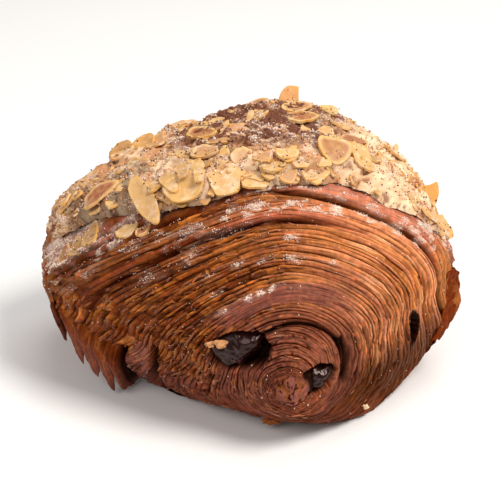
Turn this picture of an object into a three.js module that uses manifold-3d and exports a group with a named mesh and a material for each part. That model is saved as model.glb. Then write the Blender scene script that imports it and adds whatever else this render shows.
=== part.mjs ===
// Almond croissant: a rolled, laminated pastry with its spiral end in front, two chocolate
// batons through the roll, and a crust of almond cream and flaked almonds over the top.
// Millimetres, +X to the right of the spiral end, +Y to the back, +Z up, resting on z = 0.

import * as THREE from 'three';
import Module from 'manifold-3d';

const wasm = await Module();
wasm.setup();

const DEG = Math.PI / 180;
const TURN = 2 * Math.PI;

// Cross-section of the roll. A power of 2 makes a quarter of it round, a larger one squarer.
const SECTION = { right: 48, left: 51, midHeight: 27, rise: 30, fall: 30, topShift: 3, baseShift: 5 };
const POWER = { upperRight: 1.8, upperLeft: 1.58, lowerLeft: 2.3, lowerRight: 2.05 };

// How much the roll swells half-way along, as a share of its width and as a height on top.
const SWELL = { width: 0.03, height: 4 };

// The domed ends: where the core and the rim stand along Y, and how the rim's corners lean.
const FRONT = {
  core: -54, right: -22, top: -27, left: -14, bottom: -29, keel: -12,
  upperRight: -3, upperLeft: -7, lowerLeft: 7, lowerRight: -2,
};
const BACK = {
  core: 46, right: 15, top: 19, left: 19, bottom: 26, keel: 6,
  upperRight: 0, upperLeft: 0, lowerLeft: 0, lowerRight: 0,
};
const KEEL = { angle: 282 * DEG, halfAngle: 24 * DEG };
const DOME_POWER = 1.5;

// The rolled sheet: an inner roll about the core, and the turns wound round it.
const CORE = { x: 1.5, z: 16 };
const INNER_ROLL = { x: 3, z: 21, radius: 11.5, share: 0.27 };
const SPIRAL = { start: 0.1, startAngle: 18 * DEG, turns: 3.9 };
const HEART_HEIGHT = 0.5;

// Relief of the layers on the ends.
const LAYERS = { columns: 52, linesFront: 8, linesBack: 5, ridge: 0.55, waver: 0.35 };
const GAPS = { inner: 1.6, middle: 0.4, outer: 1.9, lip: 1.5 };
const FAN = { from: 188 * DEG, to: 252 * DEG, inside: 0.55, height: 1.3 };
const TEAR = { angle: -8 * DEG, rho: 0.735, halfAngle: 7 * DEG, halfRho: 0.05, depth: 3 };

// Relief of the skin between the ends: ragged flake tips and one loose flap at the front rim.
const SKIN_STEPS = 8;
const TIPS = { from: 180 * DEG, to: 256 * DEG, period: 14 * DEG, height: 6, reach: 0.3 };
const FLAP = { angle: -13 * DEG, halfAngle: 19 * DEG, height: 2.4, reach: 0.2 };

const BATONS = {
  chocolate_baton_left: { x: -9, z: 26.4, halfWidth: 6.2, halfHeight: 4.1, tilt: 26 * DEG, front: -46.3, back: 39 },
  chocolate_baton_right: { x: 8.4, z: 19.4, halfWidth: 3.9, halfHeight: 2.9, tilt: 12 * DEG, front: -51, back: 42 },
};
const BATON_SIDES = 20;
const BATON_ROUNDING = 1.3;

// The almond crust, from its right edge round to its left, and from front to back.
const CREAM = { right: 22 * DEG, left: 159 * DEG, front: 0.015, frontLeft: 0.3, back: 0.95 };
const CREAM_DEPTH = { edge: 1, middle: 3.4, sides: 1.2, bumps: 0.9 };
const CREAM_EDGE = { angle: 5 * DEG, along: 0.025, taper: 0.12 };
const CREAM_GRID = { across: 40, along: 15 };

const FLAKE = { length: [6, 9], width: [4.2, 6.4], thickness: 1, bend: 0.8, sides: 8, sunk: 0.35 };
const SCATTERED_FLAKES = 34;

// The flakes that stand out: share of the crust across (0 right) and along (0 front), size,
// spin about the crust's normal (-90 points to the front), tip-up of the far end, and lift.
const NOTED_FLAKES = [
  { across: 0.777, along: 0.03, length: 12.5, width: 4.8, spin: -65, tip: -14, lift: 1.1 },
  { across: 0.697, along: 0.05, length: 8.6, width: 7.4, spin: -80, tip: -16, lift: 1 },
  { across: 0.631, along: 0.04, length: 7, width: 6, spin: -88, tip: -16, lift: 0.9 },
  { across: 0.358, along: 0.18, length: 8, width: 7.6, spin: -90, tip: -20, lift: 0.8 },
  { across: 0.296, along: 0.44, length: 8.4, width: 6.4, spin: 70, tip: 8, lift: 0.5 },
  { across: 0.307, along: 0.15, length: 9, width: 5, spin: -40, tip: -10, lift: 0.5 },
  { across: 0.394, along: 0.94, length: 7.5, width: 6, spin: 90, tip: 72, lift: 2.4 },
  { across: 0.085, along: 0.3, length: 7.5, width: 5, spin: 80, tip: 40, lift: 1 },
  { across: 0.095, along: 0.06, length: 8.5, width: 6.5, spin: -60, tip: -6, lift: 0.8 },
  { across: 0.825, along: 0.72, length: 8.5, width: 6.5, spin: 120, tip: 22, lift: 0.7 },
  { across: 0.765, along: 0.69, length: 8, width: 6, spin: 110, tip: 18, lift: 0.5 },
  { across: 0.872, along: 0.07, length: 9, width: 6, spin: -60, tip: 14, lift: 0.8 },
];

// Gap kept between the crust and the roll, and round each baton.
const CLEARANCE = 0.35;

// Moves the finished shape so that its box stands centred over the origin.
const CENTRE = { x: 1.2, y: 4 };

const LOOKS = {
  pastry: { color: 0x9c5939, roughness: 0.45, metalness: 0 },
  chocolate: { color: 0x2e1a16, roughness: 0.25, metalness: 0 },
  almondCrust: { color: 0xe4bd8c, roughness: 0.75, metalness: 0 },
};

const clamp01 = (x) => Math.min(1, Math.max(0, x));
const mix = (a, b, f) => a + (b - a) * f;
const smooth = (x) => clamp01(x) ** 2 * (3 - 2 * clamp01(x));
const bell = (x) => Math.exp(-x * x);

// A fixed draw between 0 and 1 for each pair of numbers, and a smooth field made of such draws.
function draw(a, b) {
  const s = Math.sin(a * 127.1 + b * 311.7) * 43758.5453;
  return s - Math.floor(s);
}

function waver(x, y) {
  const [i, j] = [Math.floor(x), Math.floor(y)];
  const [u, v] = [smooth(x - i), smooth(y - j)];
  const low = mix(draw(i, j), draw(i + 1, j), u);
  const high = mix(draw(i, j + 1), draw(i + 1, j + 1), u);
  return mix(low, high, v) * 2 - 1;
}

// Signed difference of two angles, and how far an angle lies inside a range (0 at both ends).
function angleGap(a, b) {
  return Math.atan2(Math.sin(a - b), Math.cos(a - b));
}

function inRange(t, from, to) {
  const half = (to - from) / 2;
  return smooth((half - Math.abs(angleGap(t, from + half))) / (half * 0.4));
}

function quarter(t, table) {
  if (Math.sin(t) >= 0) return Math.cos(t) < 0 ? table.upperLeft : table.upperRight;
  return Math.cos(t) < 0 ? table.lowerLeft : table.lowerRight;
}

// Outline of the roll at angle t (0 right, 90 top, 180 left), cut flat where it rests.
function outline(t) {
  const n = 2 / quarter(t, POWER);
  const [c, s] = [Math.cos(t), Math.sin(t)];
  const reach = s >= 0 ? SECTION.rise : SECTION.fall;
  const lean = s >= 0 ? SECTION.topShift * s : -SECTION.baseShift * s;
  return {
    x: (c > 0 ? SECTION.right : -SECTION.left) * Math.abs(c) ** n + lean,
    z: Math.max(0, SECTION.midHeight + reach * Math.sign(s) * Math.abs(s) ** n),
  };
}

function rimY(end, t) {
  const [c, s] = [Math.cos(t), Math.sin(t)];
  const sides = c * c * (c > 0 ? end.right : end.left) + s * s * (s > 0 ? end.top : end.bottom);
  const keel = end.keel * bell(angleGap(t, KEEL.angle) / KEEL.halfAngle);
  return sides + keel + quarter(t, end) * Math.sin(2 * t) ** 2;
}

// Point of an end: rho runs from 0 at the core, over the inner roll, to 1 at the rim.
function endPoint(end, rho, t) {
  const rim = outline(t);
  const roll = {
    x: INNER_ROLL.x + INNER_ROLL.radius * Math.cos(t),
    z: INNER_ROLL.z + INNER_ROLL.radius * Math.sin(t),
  };
  const inside = rho < INNER_ROLL.share;
  const f = inside ? rho / INNER_ROLL.share : (rho - INNER_ROLL.share) / (1 - INNER_ROLL.share);
  const [from, to] = inside ? [CORE, roll] : [roll, rim];
  const y = rimY(end, t);
  return new THREE.Vector3(
    mix(from.x, to.x, f), mix(end.core, y, rho ** DOME_POWER), mix(from.z, to.z, f));
}

// Point of the skin: v runs from 0 at the front rim to 1 at the back rim.
function skinPoint(t, v) {
  const rim = outline(t);
  const swell = 1 - (2 * v - 1) ** 2;
  return new THREE.Vector3(
    rim.x * (1 + SWELL.width * swell),
    mix(rimY(FRONT, t), rimY(BACK, t), v),
    rim.z + SWELL.height * Math.max(0, Math.sin(t)) * swell);
}

// Normal of a surface given as a function of two parameters.
function normalOf(point, a, b) {
  const step = 1e-3;
  const alongA = point(a + step, b).sub(point(a - step, b));
  const alongB = point(a, b + step).sub(point(a, b - step));
  return alongA.cross(alongB).normalize();
}

const skinNormal = (t, v) => normalOf(skinPoint, t, v).negate();

// Share of the way out at which the sheet's edge lies after a number of turns.
function edgeRho(turns) {
  if (turns < 1) return mix(SPIRAL.start, INNER_ROLL.share, turns);
  return Math.min(1, mix(INNER_ROLL.share, 1, (turns - 1) / (SPIRAL.turns - 1)));
}

// Height of the layers at a point of an end: gaps between turns, a lip, ridges and a tear.
function endRelief(turns, across, rho, t) {
  const edge = turns + Math.round(across);
  const nearGap = bell(Math.min(across, 1 - across) / 0.09);
  const innerGap = GAPS.inner * bell((edge - 1.25) / 0.5);
  const outerGap = GAPS.outer * bell((edge - 3.15) / 0.4);
  const gap = Math.max(GAPS.middle, innerGap, outerGap) * nearGap;
  const lip = GAPS.lip * bell((across - 0.22) / 0.12) * bell((turns - 3.15) / 0.4);
  const fan = inRange(t, FAN.from, FAN.to) * smooth((rho - FAN.inside) / 0.2);
  const ridge = (LAYERS.ridge + FAN.height * fan) * Math.cos(TURN * 4 * across + Math.PI);
  const uneven = LAYERS.waver * waver(t * 5 + 40, rho * 30);
  const tear = TEAR.depth * bell(angleGap(t, TEAR.angle) / TEAR.halfAngle) * bell((rho - TEAR.rho) / TEAR.halfRho);
  return (ridge + uneven + lip - gap - tear) * clamp01((1 - rho) / 0.05);
}

// Height of the skin over its smooth form, near the front rim.
function skinRelief(t, v) {
  const saw = 1 - Math.abs(((t / TIPS.period) % 1) * 2 - 1);
  const tips = TIPS.height * (0.35 + 0.65 * saw) * inRange(t, TIPS.from, TIPS.to) * smooth(1 - v / TIPS.reach);
  const loose = bell(angleGap(t, FLAP.angle) / FLAP.halfAngle) * smooth(1 - v / FLAP.reach);
  return tips + FLAP.height * loose;
}

function shifted(point, normal, height) {
  const moved = point.addScaledVector(normal, height);
  moved.z = Math.max(0, moved.z);
  return moved;
}

// A mesh under construction: points are shared by key, and triangles that shrink away are left out.
class MeshBuilder {
  constructor() {
    this.points = [];
    this.triangles = [];
    this.known = new Map();
  }

  point(key, make) {
    if (!this.known.has(key)) {
      this.known.set(key, this.points.length / 3);
      this.points.push(...make().toArray());
    }
    return this.known.get(key);
  }

  triangle(a, b, c) {
    if (a !== b && b !== c && c !== a) this.triangles.push(a, b, c);
  }

  quad(a, b, c, d) {
    this.triangle(a, b, c);
    this.triangle(a, c, d);
  }

  solid() {
    return solidOf(this.points, this.triangles);
  }
}

function solidOf(points, triangles) {
  const mesh = new wasm.Mesh({
    numProp: 3,
    vertProperties: new Float32Array(points),
    triVerts: new Uint32Array(triangles),
  });
  return new wasm.Manifold(mesh);
}

// The ribbon of dough wound into one end, closed at the core by a fan. The front faces -Y.
function addEnd(builder, end, name, lines, grow) {
  const { columns } = LAYERS;
  const last = Math.round(SPIRAL.turns * columns);
  const sign = end === FRONT ? 1 : -1;
  const angleAt = (i) => SPIRAL.startAngle + (TURN * i) / columns;
  const width = (i) => edgeRho(i / columns + 1) - edgeRho(i / columns);
  const surface = (rho, t) => endPoint(end, rho, t);

  // The key of a point; a narrow stretch of ribbon keeps only its two edges.
  function place(i, line) {
    let m = line;
    if (width(i) < 0.05) m = line < lines / 2 ? 0 : lines;
    if (m === lines && i + columns < last) return [i + columns, 0];
    if (m === lines || i === last) return [i % columns, 'rim'];
    return [i, m];
  }

  function at(i, line) {
    const [column, m] = place(i, line);
    const t = angleAt(column);
    if (m === 'rim') return rimPoint(builder, column, end === FRONT ? 0 : SKIN_STEPS, grow);
    return builder.point(`${name}/${column}/${m}`, () => {
      const turns = column / columns;
      const rho = mix(edgeRho(turns), edgeRho(turns + 1), m / lines);
      const height = endRelief(turns, m / lines, rho, t) + grow;
      return shifted(surface(rho, t), normalOf(surface, rho, t).multiplyScalar(sign), height);
    });
  }

  const quad = (a, b, c, d) => (end === FRONT ? builder.quad(a, b, c, d) : builder.quad(a, d, c, b));
  for (let i = 0; i < last; i += 1) {
    for (let m = 0; m < lines; m += 1) quad(at(i, m), at(i, m + 1), at(i + 1, m + 1), at(i + 1, m));
  }

  const heart = surface(SPIRAL.start * 0.4, SPIRAL.startAngle - TURN / 4);
  heart.y -= sign * (HEART_HEIGHT + grow);
  const centre = builder.point(`${name}/core`, () => heart);
  const loop = [];
  for (let i = 0; i < columns; i += 1) loop.push(at(i, 0));
  for (let m = lines; m > 0; m -= 1) loop.push(at(0, m));
  loop.forEach((from, k) => {
    const to = loop[(k + 1) % loop.length];
    if (end === FRONT) builder.triangle(centre, from, to);
    else builder.triangle(centre, to, from);
  });
}

function rimPoint(builder, column, step, grow) {
  const t = SPIRAL.startAngle + (TURN * column) / LAYERS.columns;
  const v = step / SKIN_STEPS;
  return builder.point(`skin/${column}/${step}`, () => {
    const point = shifted(skinPoint(t, v), skinNormal(t, v), skinRelief(t, v) + grow);
    if (step === 0) point.y -= grow;
    if (step === SKIN_STEPS) point.y += grow;
    return point;
  });
}

// The roll, or the same shape grown outward for cutting what must stay clear of it.
function rollSolid(grow = 0) {
  const builder = new MeshBuilder();
  addEnd(builder, FRONT, 'front', LAYERS.linesFront, grow);
  addEnd(builder, BACK, 'back', LAYERS.linesBack, grow);
  for (let i = 0; i < LAYERS.columns; i += 1) {
    const next = (i + 1) % LAYERS.columns;
    for (let k = 0; k < SKIN_STEPS; k += 1) {
      builder.quad(
        rimPoint(builder, i, k, grow), rimPoint(builder, i, k + 1, grow),
        rimPoint(builder, next, k + 1, grow), rimPoint(builder, next, k, grow));
    }
  }
  return builder.solid();
}

// A bar along Y with a rounded section, grown all round by a gap when it cuts its own tunnel.
function bar(baton, front, back, gap, rounding) {
  const shape = new THREE.Shape();
  shape.absellipse(0, 0, baton.halfWidth + gap, baton.halfHeight + gap, 0, TURN, false, 0);
  const points = shape.getSpacedPoints(BATON_SIDES).slice(0, BATON_SIDES);
  const geometry = new THREE.ExtrudeGeometry(new THREE.Shape(points), {
    depth: back - front - 2 * rounding, steps: 4, curveSegments: 1,
    bevelEnabled: rounding > 0, bevelSegments: 3,
    bevelSize: rounding, bevelThickness: rounding, bevelOffset: -rounding,
  });
  geometry.rotateZ(baton.tilt);
  geometry.translate(0, 0, rounding);
  geometry.rotateX(Math.PI / 2);
  geometry.translate(baton.x, back, baton.z);
  return solidOfGeometry(geometry);
}

// Welds a geometry's corners and makes it a solid.
function solidOfGeometry(geometry) {
  const position = geometry.attributes.position;
  const index = geometry.index ? [...geometry.index.array] : [...Array(position.count).keys()];
  const builder = new MeshBuilder();
  const corner = (k) => {
    const point = new THREE.Vector3().fromBufferAttribute(position, index[k]);
    return builder.point(point.toArray().map((c) => c.toFixed(3)).join('/'), () => point);
  };
  for (let k = 0; k < index.length; k += 3) builder.triangle(corner(k), corner(k + 1), corner(k + 2));
  return builder.solid();
}

// Place on the crust for shares across (0 right, 1 left) and along (0 front, 1 back) of it.
function crustPlace(across, along) {
  const wave = (k) => waver(along * 6 + k, across * 9 + k);
  const right = CREAM.right + CREAM_EDGE.angle * wave(3) * (1 - across);
  const left = CREAM.left + CREAM_EDGE.angle * wave(7) * across;
  const setBack = CREAM.front + CREAM.frontLeft * smooth((across - 0.62) / 0.38);
  const front = setBack + CREAM_EDGE.along * (1 + wave(11)) / 2;
  const back = CREAM.back + CREAM_EDGE.along * wave(17);
  return { t: mix(right, left, across), v: mix(front, back, along) };
}

function crustDepth(across, along) {
  const fromSides = Math.min(across, 1 - across) / CREAM_EDGE.taper;
  const fromEnds = Math.min(along, 1 - along) / (CREAM_EDGE.taper * 0.8);
  const body = Math.sqrt(clamp01(Math.min(fromSides, fromEnds)));
  const bumps = waver(across * 16, along * 11) * 0.6 + waver(across * 33 + 5, along * 21) * 0.4;
  const depth = mix(CREAM_DEPTH.middle, CREAM_DEPTH.sides, smooth(Math.abs(2 * across - 1)));
  return CREAM_DEPTH.edge + (depth + CREAM_DEPTH.bumps * bumps) * body;
}

// The cream as a shell over the skin, its two faces sharing one grid.
function creamSolid() {
  const { across, along } = CREAM_GRID;
  const builder = new MeshBuilder();
  const at = (i, j, top) => builder.point(`${i}/${j}/${top}`, () => {
    const { t, v } = crustPlace(i / across, j / along);
    const height = CLEARANCE + 0.15 + (top ? crustDepth(i / across, j / along) : 0);
    return skinPoint(t, v).addScaledVector(skinNormal(t, v), height);
  });
  const wall = (i, j, p, q) => builder.quad(at(i, j, 0), at(p, q, 0), at(p, q, 1), at(i, j, 1));
  for (let i = 0; i < across; i += 1) {
    for (let j = 0; j < along; j += 1) {
      builder.quad(at(i, j, 1), at(i, j + 1, 1), at(i + 1, j + 1, 1), at(i + 1, j, 1));
      builder.quad(at(i, j, 0), at(i + 1, j, 0), at(i + 1, j + 1, 0), at(i, j + 1, 0));
    }
    wall(i + 1, 0, i, 0);
    wall(i, along, i + 1, along);
  }
  for (let j = 0; j < along; j += 1) {
    wall(0, j, 0, j + 1);
    wall(across, j + 1, across, j);
  }
  return builder.solid();
}

// A flake of almond: a thin, bent, egg-shaped disc, set on the crust and tipped up or down.
function flakeSolid({ t, v, height, length, width, spin, tip }) {
  const normal = skinNormal(t, v);
  const side = new THREE.Vector3(0, 1, 0).cross(normal).normalize();
  const ahead = normal.clone().cross(side);
  const frame = new THREE.Matrix4().makeBasis(side, ahead, normal);
  frame.setPosition(skinPoint(t, v).addScaledVector(normal, height));
  frame.multiply(new THREE.Matrix4().makeRotationZ(spin));
  frame.multiply(new THREE.Matrix4().makeRotationY(-tip));

  const builder = new MeshBuilder();
  const at = (k, level) => builder.point(`${k}/${level}`, () => {
    const turn = (TURN * k) / FLAKE.sides;
    const x = k === 'middle' ? 0 : Math.cos(turn) * length / 2;
    const y = k === 'middle' ? 0 : Math.sin(turn) * width / 2 * (1 - 0.25 * Math.cos(turn));
    const z = (level - 0.5) * FLAKE.thickness - FLAKE.bend * (2 * x / length) ** 2;
    return new THREE.Vector3(x, y, z).applyMatrix4(frame);
  });
  for (let k = 0; k < FLAKE.sides; k += 1) {
    const next = (k + 1) % FLAKE.sides;
    builder.triangle(at('middle', 1), at(k, 1), at(next, 1));
    builder.triangle(at('middle', 0), at(next, 0), at(k, 0));
    builder.quad(at(k, 0), at(next, 0), at(next, 1), at(k, 1));
  }
  return builder.solid();
}

// A flake at its place on the crust, lifted clear of it or sunk into it.
function setFlake({ across, along, lift, ...flake }) {
  const height = CLEARANCE + crustDepth(across, along) - FLAKE.sunk + lift;
  return { ...flake, ...crustPlace(across, along), height };
}

// All flakes: the noted ones, then the rest spread evenly over the crust.
function flakes() {
  const noted = NOTED_FLAKES.map((flake) => ({ ...flake, spin: flake.spin * DEG, tip: flake.tip * DEG }));
  const scattered = [];
  for (let k = 0; k < SCATTERED_FLAKES; k += 1) {
    scattered.push({
      across: mix(0.06, 0.94, (k * 0.618034) % 1),
      along: mix(0.05, 0.95, (k + draw(k, 1)) / SCATTERED_FLAKES),
      lift: 0.6 * draw(k, 2),
      length: mix(...FLAKE.length, draw(k, 3)),
      width: mix(...FLAKE.width, draw(k, 4)),
      spin: TURN * draw(k, 5),
      tip: (draw(k, 6) - 0.3) * 30 * DEG,
    });
  }
  return [...noted, ...scattered].map(setFlake);
}

// The largest of the bodies that a cut may leave.
function largest(solid) {
  return solid.decompose().sort((a, b) => b.volume() - a.volume())[0];
}

function crustSolid() {
  const joined = flakes().reduce((crust, flake) => crust.add(flakeSolid(flake)), creamSolid());
  return largest(joined.subtract(rollSolid(CLEARANCE)));
}

function pastrySolid() {
  const tunnel = (baton) => bar(baton, FRONT.core - 10, BACK.core + 10, CLEARANCE, 0);
  return largest(Object.values(BATONS).reduce((roll, baton) => roll.subtract(tunnel(baton)), rollSolid()));
}

function meshOf(name, solid, look) {
  const { vertProperties, triVerts } = solid.getMesh();
  const geometry = new THREE.BufferGeometry();
  geometry.setAttribute('position', new THREE.BufferAttribute(vertProperties, 3));
  geometry.setIndex(new THREE.BufferAttribute(triVerts, 1));
  geometry.computeVertexNormals();
  const mesh = new THREE.Mesh(geometry, new THREE.MeshStandardMaterial(look));
  mesh.name = name;
  return mesh;
}

const croissant = new THREE.Group();
croissant.add(meshOf('pastry', pastrySolid(), LOOKS.pastry));
for (const [name, baton] of Object.entries(BATONS)) {
  croissant.add(meshOf(name, bar(baton, baton.front, baton.back, 0, BATON_ROUNDING), LOOKS.chocolate));
}
croissant.add(meshOf('almond_crust', crustSolid(), LOOKS.almondCrust));
croissant.position.set(CENTRE.x, CENTRE.y, 0);

export default croissant;
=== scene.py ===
# Almond croissant: a rolled, laminated pastry seen at its spiral end, with two chocolate batons,
# a crust of almond cream, flaked almonds, icing sugar and loose crumbs of pastry.
# Shapes are worked out in millimetres, +X to the right, +Y to the back, +Z up.

import math
from collections import namedtuple

import bpy
import numpy as np
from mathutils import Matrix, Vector

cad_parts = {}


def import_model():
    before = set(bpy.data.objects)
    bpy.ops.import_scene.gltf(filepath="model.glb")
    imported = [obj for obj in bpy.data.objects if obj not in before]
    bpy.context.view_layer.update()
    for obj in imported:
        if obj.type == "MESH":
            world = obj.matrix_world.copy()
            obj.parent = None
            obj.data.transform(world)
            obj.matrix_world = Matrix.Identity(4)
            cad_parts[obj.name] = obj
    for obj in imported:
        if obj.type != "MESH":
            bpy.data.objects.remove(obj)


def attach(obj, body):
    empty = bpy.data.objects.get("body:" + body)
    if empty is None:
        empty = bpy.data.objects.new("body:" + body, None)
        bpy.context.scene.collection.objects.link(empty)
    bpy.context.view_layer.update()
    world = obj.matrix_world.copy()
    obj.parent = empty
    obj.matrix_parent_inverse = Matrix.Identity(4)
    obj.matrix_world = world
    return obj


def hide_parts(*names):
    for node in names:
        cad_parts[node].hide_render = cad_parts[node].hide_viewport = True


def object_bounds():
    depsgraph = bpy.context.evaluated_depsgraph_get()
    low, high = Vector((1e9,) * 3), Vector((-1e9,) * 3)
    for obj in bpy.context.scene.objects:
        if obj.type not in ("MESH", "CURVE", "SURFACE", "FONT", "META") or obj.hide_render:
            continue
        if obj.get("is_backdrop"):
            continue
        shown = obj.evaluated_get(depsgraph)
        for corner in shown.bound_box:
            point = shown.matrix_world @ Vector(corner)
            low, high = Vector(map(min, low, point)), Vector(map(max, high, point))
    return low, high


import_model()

CAD_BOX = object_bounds()

TURN = 2 * math.pi
MM = 0.001

# Moves the shapes so that their box stands centred over the origin.
CENTRE = np.array([1.2, 4.0, 0.0])

# Cross-section of the roll. A power of 2 makes a quarter of it round, a larger one squarer.
SECTION = {
    "right": 48, "left": 51, "mid_height": 27, "rise": 30, "fall": 30, "top_shift": 3, "base_shift": 5,
}
POWER = {"upper_right": 1.8, "upper_left": 1.58, "lower_left": 2.3, "lower_right": 2.05}
SWELL = {"width": 0.03, "height": 4}

# The domed ends: where the core and the rim stand along Y, and how the rim's corners lean.
FRONT = {
    "facing": 1, "core": -54, "right": -22, "top": -27, "left": -14, "bottom": -29, "keel": -12,
    "upper_right": -3, "upper_left": -7, "lower_left": 7, "lower_right": -2,
}
BACK = {
    "facing": -1, "core": 46, "right": 15, "top": 19, "left": 19, "bottom": 26, "keel": 6,
    "upper_right": 0, "upper_left": 0, "lower_left": 0, "lower_right": 0,
}
KEEL = {"angle": 282, "half_angle": 24}
DOME_POWER = 1.5

# The rolled sheet: an inner roll about the core, and the turns wound round it.
CORE = (1.5, 16)
INNER_ROLL = {"x": 3, "z": 21, "radius": 11.5, "share": 0.27}
SPIRAL = {"heart": 0.09, "start": 0.1, "first": 0.2387, "pitch": 0.2817, "start_angle": 18, "turns": 3.7}

# The grids of the ends: columns in a turn, layers in the rolled sheet, points across each layer.
LAYER_PHASES = (0, 0.06, 0.16, 0.5, 0.84, 0.94)
INNER_MESH = {"columns": 330, "layers": 15, "phases": LAYER_PHASES}
OUTER_MESH = {"columns": 600, "layers": 15, "phases": LAYER_PHASES}
BACK_MESH = {"columns": 260, "layers": 13, "phases": (0, 0.1, 0.5, 0.9)}
INNER_TURNS = 1.35

# The grids of the other pieces, rows by columns. The skin's rows stand closer near the front rim, and
# the batons' rows are bunched towards their ends.
CORE_GRID = (26, 121)
TIPS_GRID = (51, 187)
FLAP_GRID = (60, 12)
BIT_GRID = (17, 33)
BATON_GRID = (101, 73)
BATON_BUNCHING = 0.98
SKIN_GRID = {"rim_rows": 30, "rim": 0.14, "rows": 62, "columns": 561}

# Thickness of loose sheets of dough, and the radius of the lump at the core as a share of the end.
THICKNESS = {"tips": 0.5, "flap": 0.4, "shard": 0.12}
CORE_LUMP = 0.085

# Relief of the layers, in millimetres.
LAYER = {"crest": 0.1, "trough": 0.46, "long_wave": 0.4, "ragged": 0.3, "lean": 0.3}

# The batons where they show at the front.
BATONS = {
    "chocolate_baton_left": {
        "x": -9, "z": 26.4, "half_width": 6.5, "half_height": 4.5, "tilt": 32,
        "front": -47.1, "back": 39.8, "slope": -0.2, "swell": 2.4, "hole": 0.7,
    },
    "chocolate_baton_right": {
        "x": 8.4, "z": 19.4, "half_width": 3.9, "half_height": 2.9, "tilt": 12,
        "front": -51.8, "back": 42.8, "slope": 0.25, "swell": 0.6, "hole": 1.2,
    },
}

# The almond crust, from its right edge round to its left, and from front to back.
CREAM = {"right": 22, "left": 163, "front": 0.025, "front_left": 0.4, "back": 0.95}
CREAM_DEPTH = {"edge": 0.5, "middle": 3.0, "right": 0.8, "left": 3.0, "hump": 1.8, "bumps": 0.8}
CREAM_EDGE = {"angle": 6, "along": 0.05, "taper": 0.12, "lobes": 0.075}
CREAM_GRID = (300, 150)
CLEARANCE = 0.35

# The flakes: sizes, numbers of each kind, and a patch of the crust that stays bare.
FLAKE = {"length": (6, 9), "width": (4.2, 6.4), "bend": 0.8, "sunk": 0.35}
EDGE_FLAKES = 20
SCATTERED_FLAKES = 30
FLAKE_BITS = 170
BARE_PATCH = {"at": (0.47, 0.14), "reach": 0.06}
GOLDEN = 0.618034

# The flakes that stand out: angle round the roll and share of the way back, length, width, spin about
# the crust's normal (-90 points to the front), tip-up of the far end, lift, squareness, broken sides,
# and how far the face is toasted, or below nought how golden it is.
NOTED_FLAKES = [
    (127.9, 0.15, 16.5, 5.2, -84, -15, 1.4, 2.0, 0, 0.0),
    (117.3, 0.105, 8.0, 9.6, -98, -18, 1.1, 2.8, 0, 0.0),
    (120.8, 0.15, 8.0, 3.2, -76, -4, 1.9, 2.6, 0, 0.0),
    (117.4, 0.17, 5.2, 3.8, -94, 6, 2.0, 3.6, 1, 0.2),
    (113.6, 0.15, 7.6, 3.4, -100, -2, 1.9, 3.0, 1, 0.0),
    (107.5, 0.064, 7.4, 7.0, -96, -14, 1.0, 5.0, 0, 0.0),
    (124.8, 0.20, 4.2, 3.0, -5, 8, 1.4, 3.0, 1, 0.0),
    (112.2, 0.58, 10.0, 5.4, -50, 3, 0.4, 2.0, 0, 0.9),
    (105.8, 0.44, 7.6, 5.2, -38, 3, 0.5, 2.0, 1, 0.8),
    (111.0, 0.35, 7.6, 4.8, -38, 5, 0.6, 2.0, 0, 0.4),
    (134.8, 0.89, 6.0, 7.6, 52, 34, 1.6, 3.0, 0, -0.6),
    (127.5, 0.79, 5.6, 7.8, 48, 28, 1.3, 2.4, 0, -0.5),
    (139.0, 0.38, 11.0, 7.2, 0, 2, 1.0, 2.0, 0, 0.9),
    (133.5, 0.06, 7.0, 4.6, 28, -4, -0.2, 2.4, 1, 0.1),
    (129.5, 0.01, 4.6, 3.2, 40, -8, -0.2, 2.2, 2, 0.9),
    (146.0, 0.19, 8.4, 5.0, 64, 0, -0.3, 2.4, 1, 0.5),
    (154.5, 0.17, 7.4, 4.8, -64, 0, -0.3, 2.6, 2, 0.6),
    (162.0, 0.12, 6.0, 4.4, 80, 0, -0.3, 2.4, 1, 0.7),
    (76.2, 0.94, 9.2, 7.2, 74, 72, 3.3, 3.0, 1, -0.8),
    (76.0, 0.58, 9.6, 5.8, 29, 5, 0.5, 2.0, 0, 0.9),
    (64.8, 0.77, 9.2, 6.2, 49, 3, 0.4, 2.4, 0, 0.0),
    (63.2, 0.44, 6.8, 6.0, -21, 9, 0.8, 4.5, 0, 0.7),
    (71.0, 0.18, 8.6, 8.2, -90, -18, 1.2, 2.0, 0, 0.6),
    (63.0, 0.21, 10.0, 5.0, -79, -8, 0.6, 2.2, 0, 0.0),
    (83.5, 0.15, 5.6, 4.2, 0, -4, 0.9, 3.2, 1, 0.0),
    (80.0, 0.045, 3.6, 3.2, 7, -8, 0.7, 3.0, 0, 0.0),
    (92.0, 0.10, 5.6, 4.6, -5, -8, 0.8, 2.4, 1, 0.0),
    (30.0, 0.42, 8.6, 6.4, 78, 36, 1.4, 2.2, 1, -0.9),
    (24.5, 0.24, 8.4, 6.2, 64, 18, 1.0, 2.4, 1, -0.6),
    (36.5, 0.07, 8.0, 5.8, -40, 6, 1.0, 2.4, 1, 0.1),
    (39.5, 0.31, 5.2, 4.2, 55, 20, 0.9, 2.0, 0, 0.9),
    (40.0, 0.77, 4.2, 3.2, 70, 50, 1.0, 2.0, 1, 0.2),
    (95.0, 0.15, 4.8, 4.2, 30, 14, 1.0, 2.2, 2, 0.5),
    (99.0, 0.035, 6.6, 4.8, -20, -10, 0.9, 2.4, 0, 0.0),
]

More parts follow.
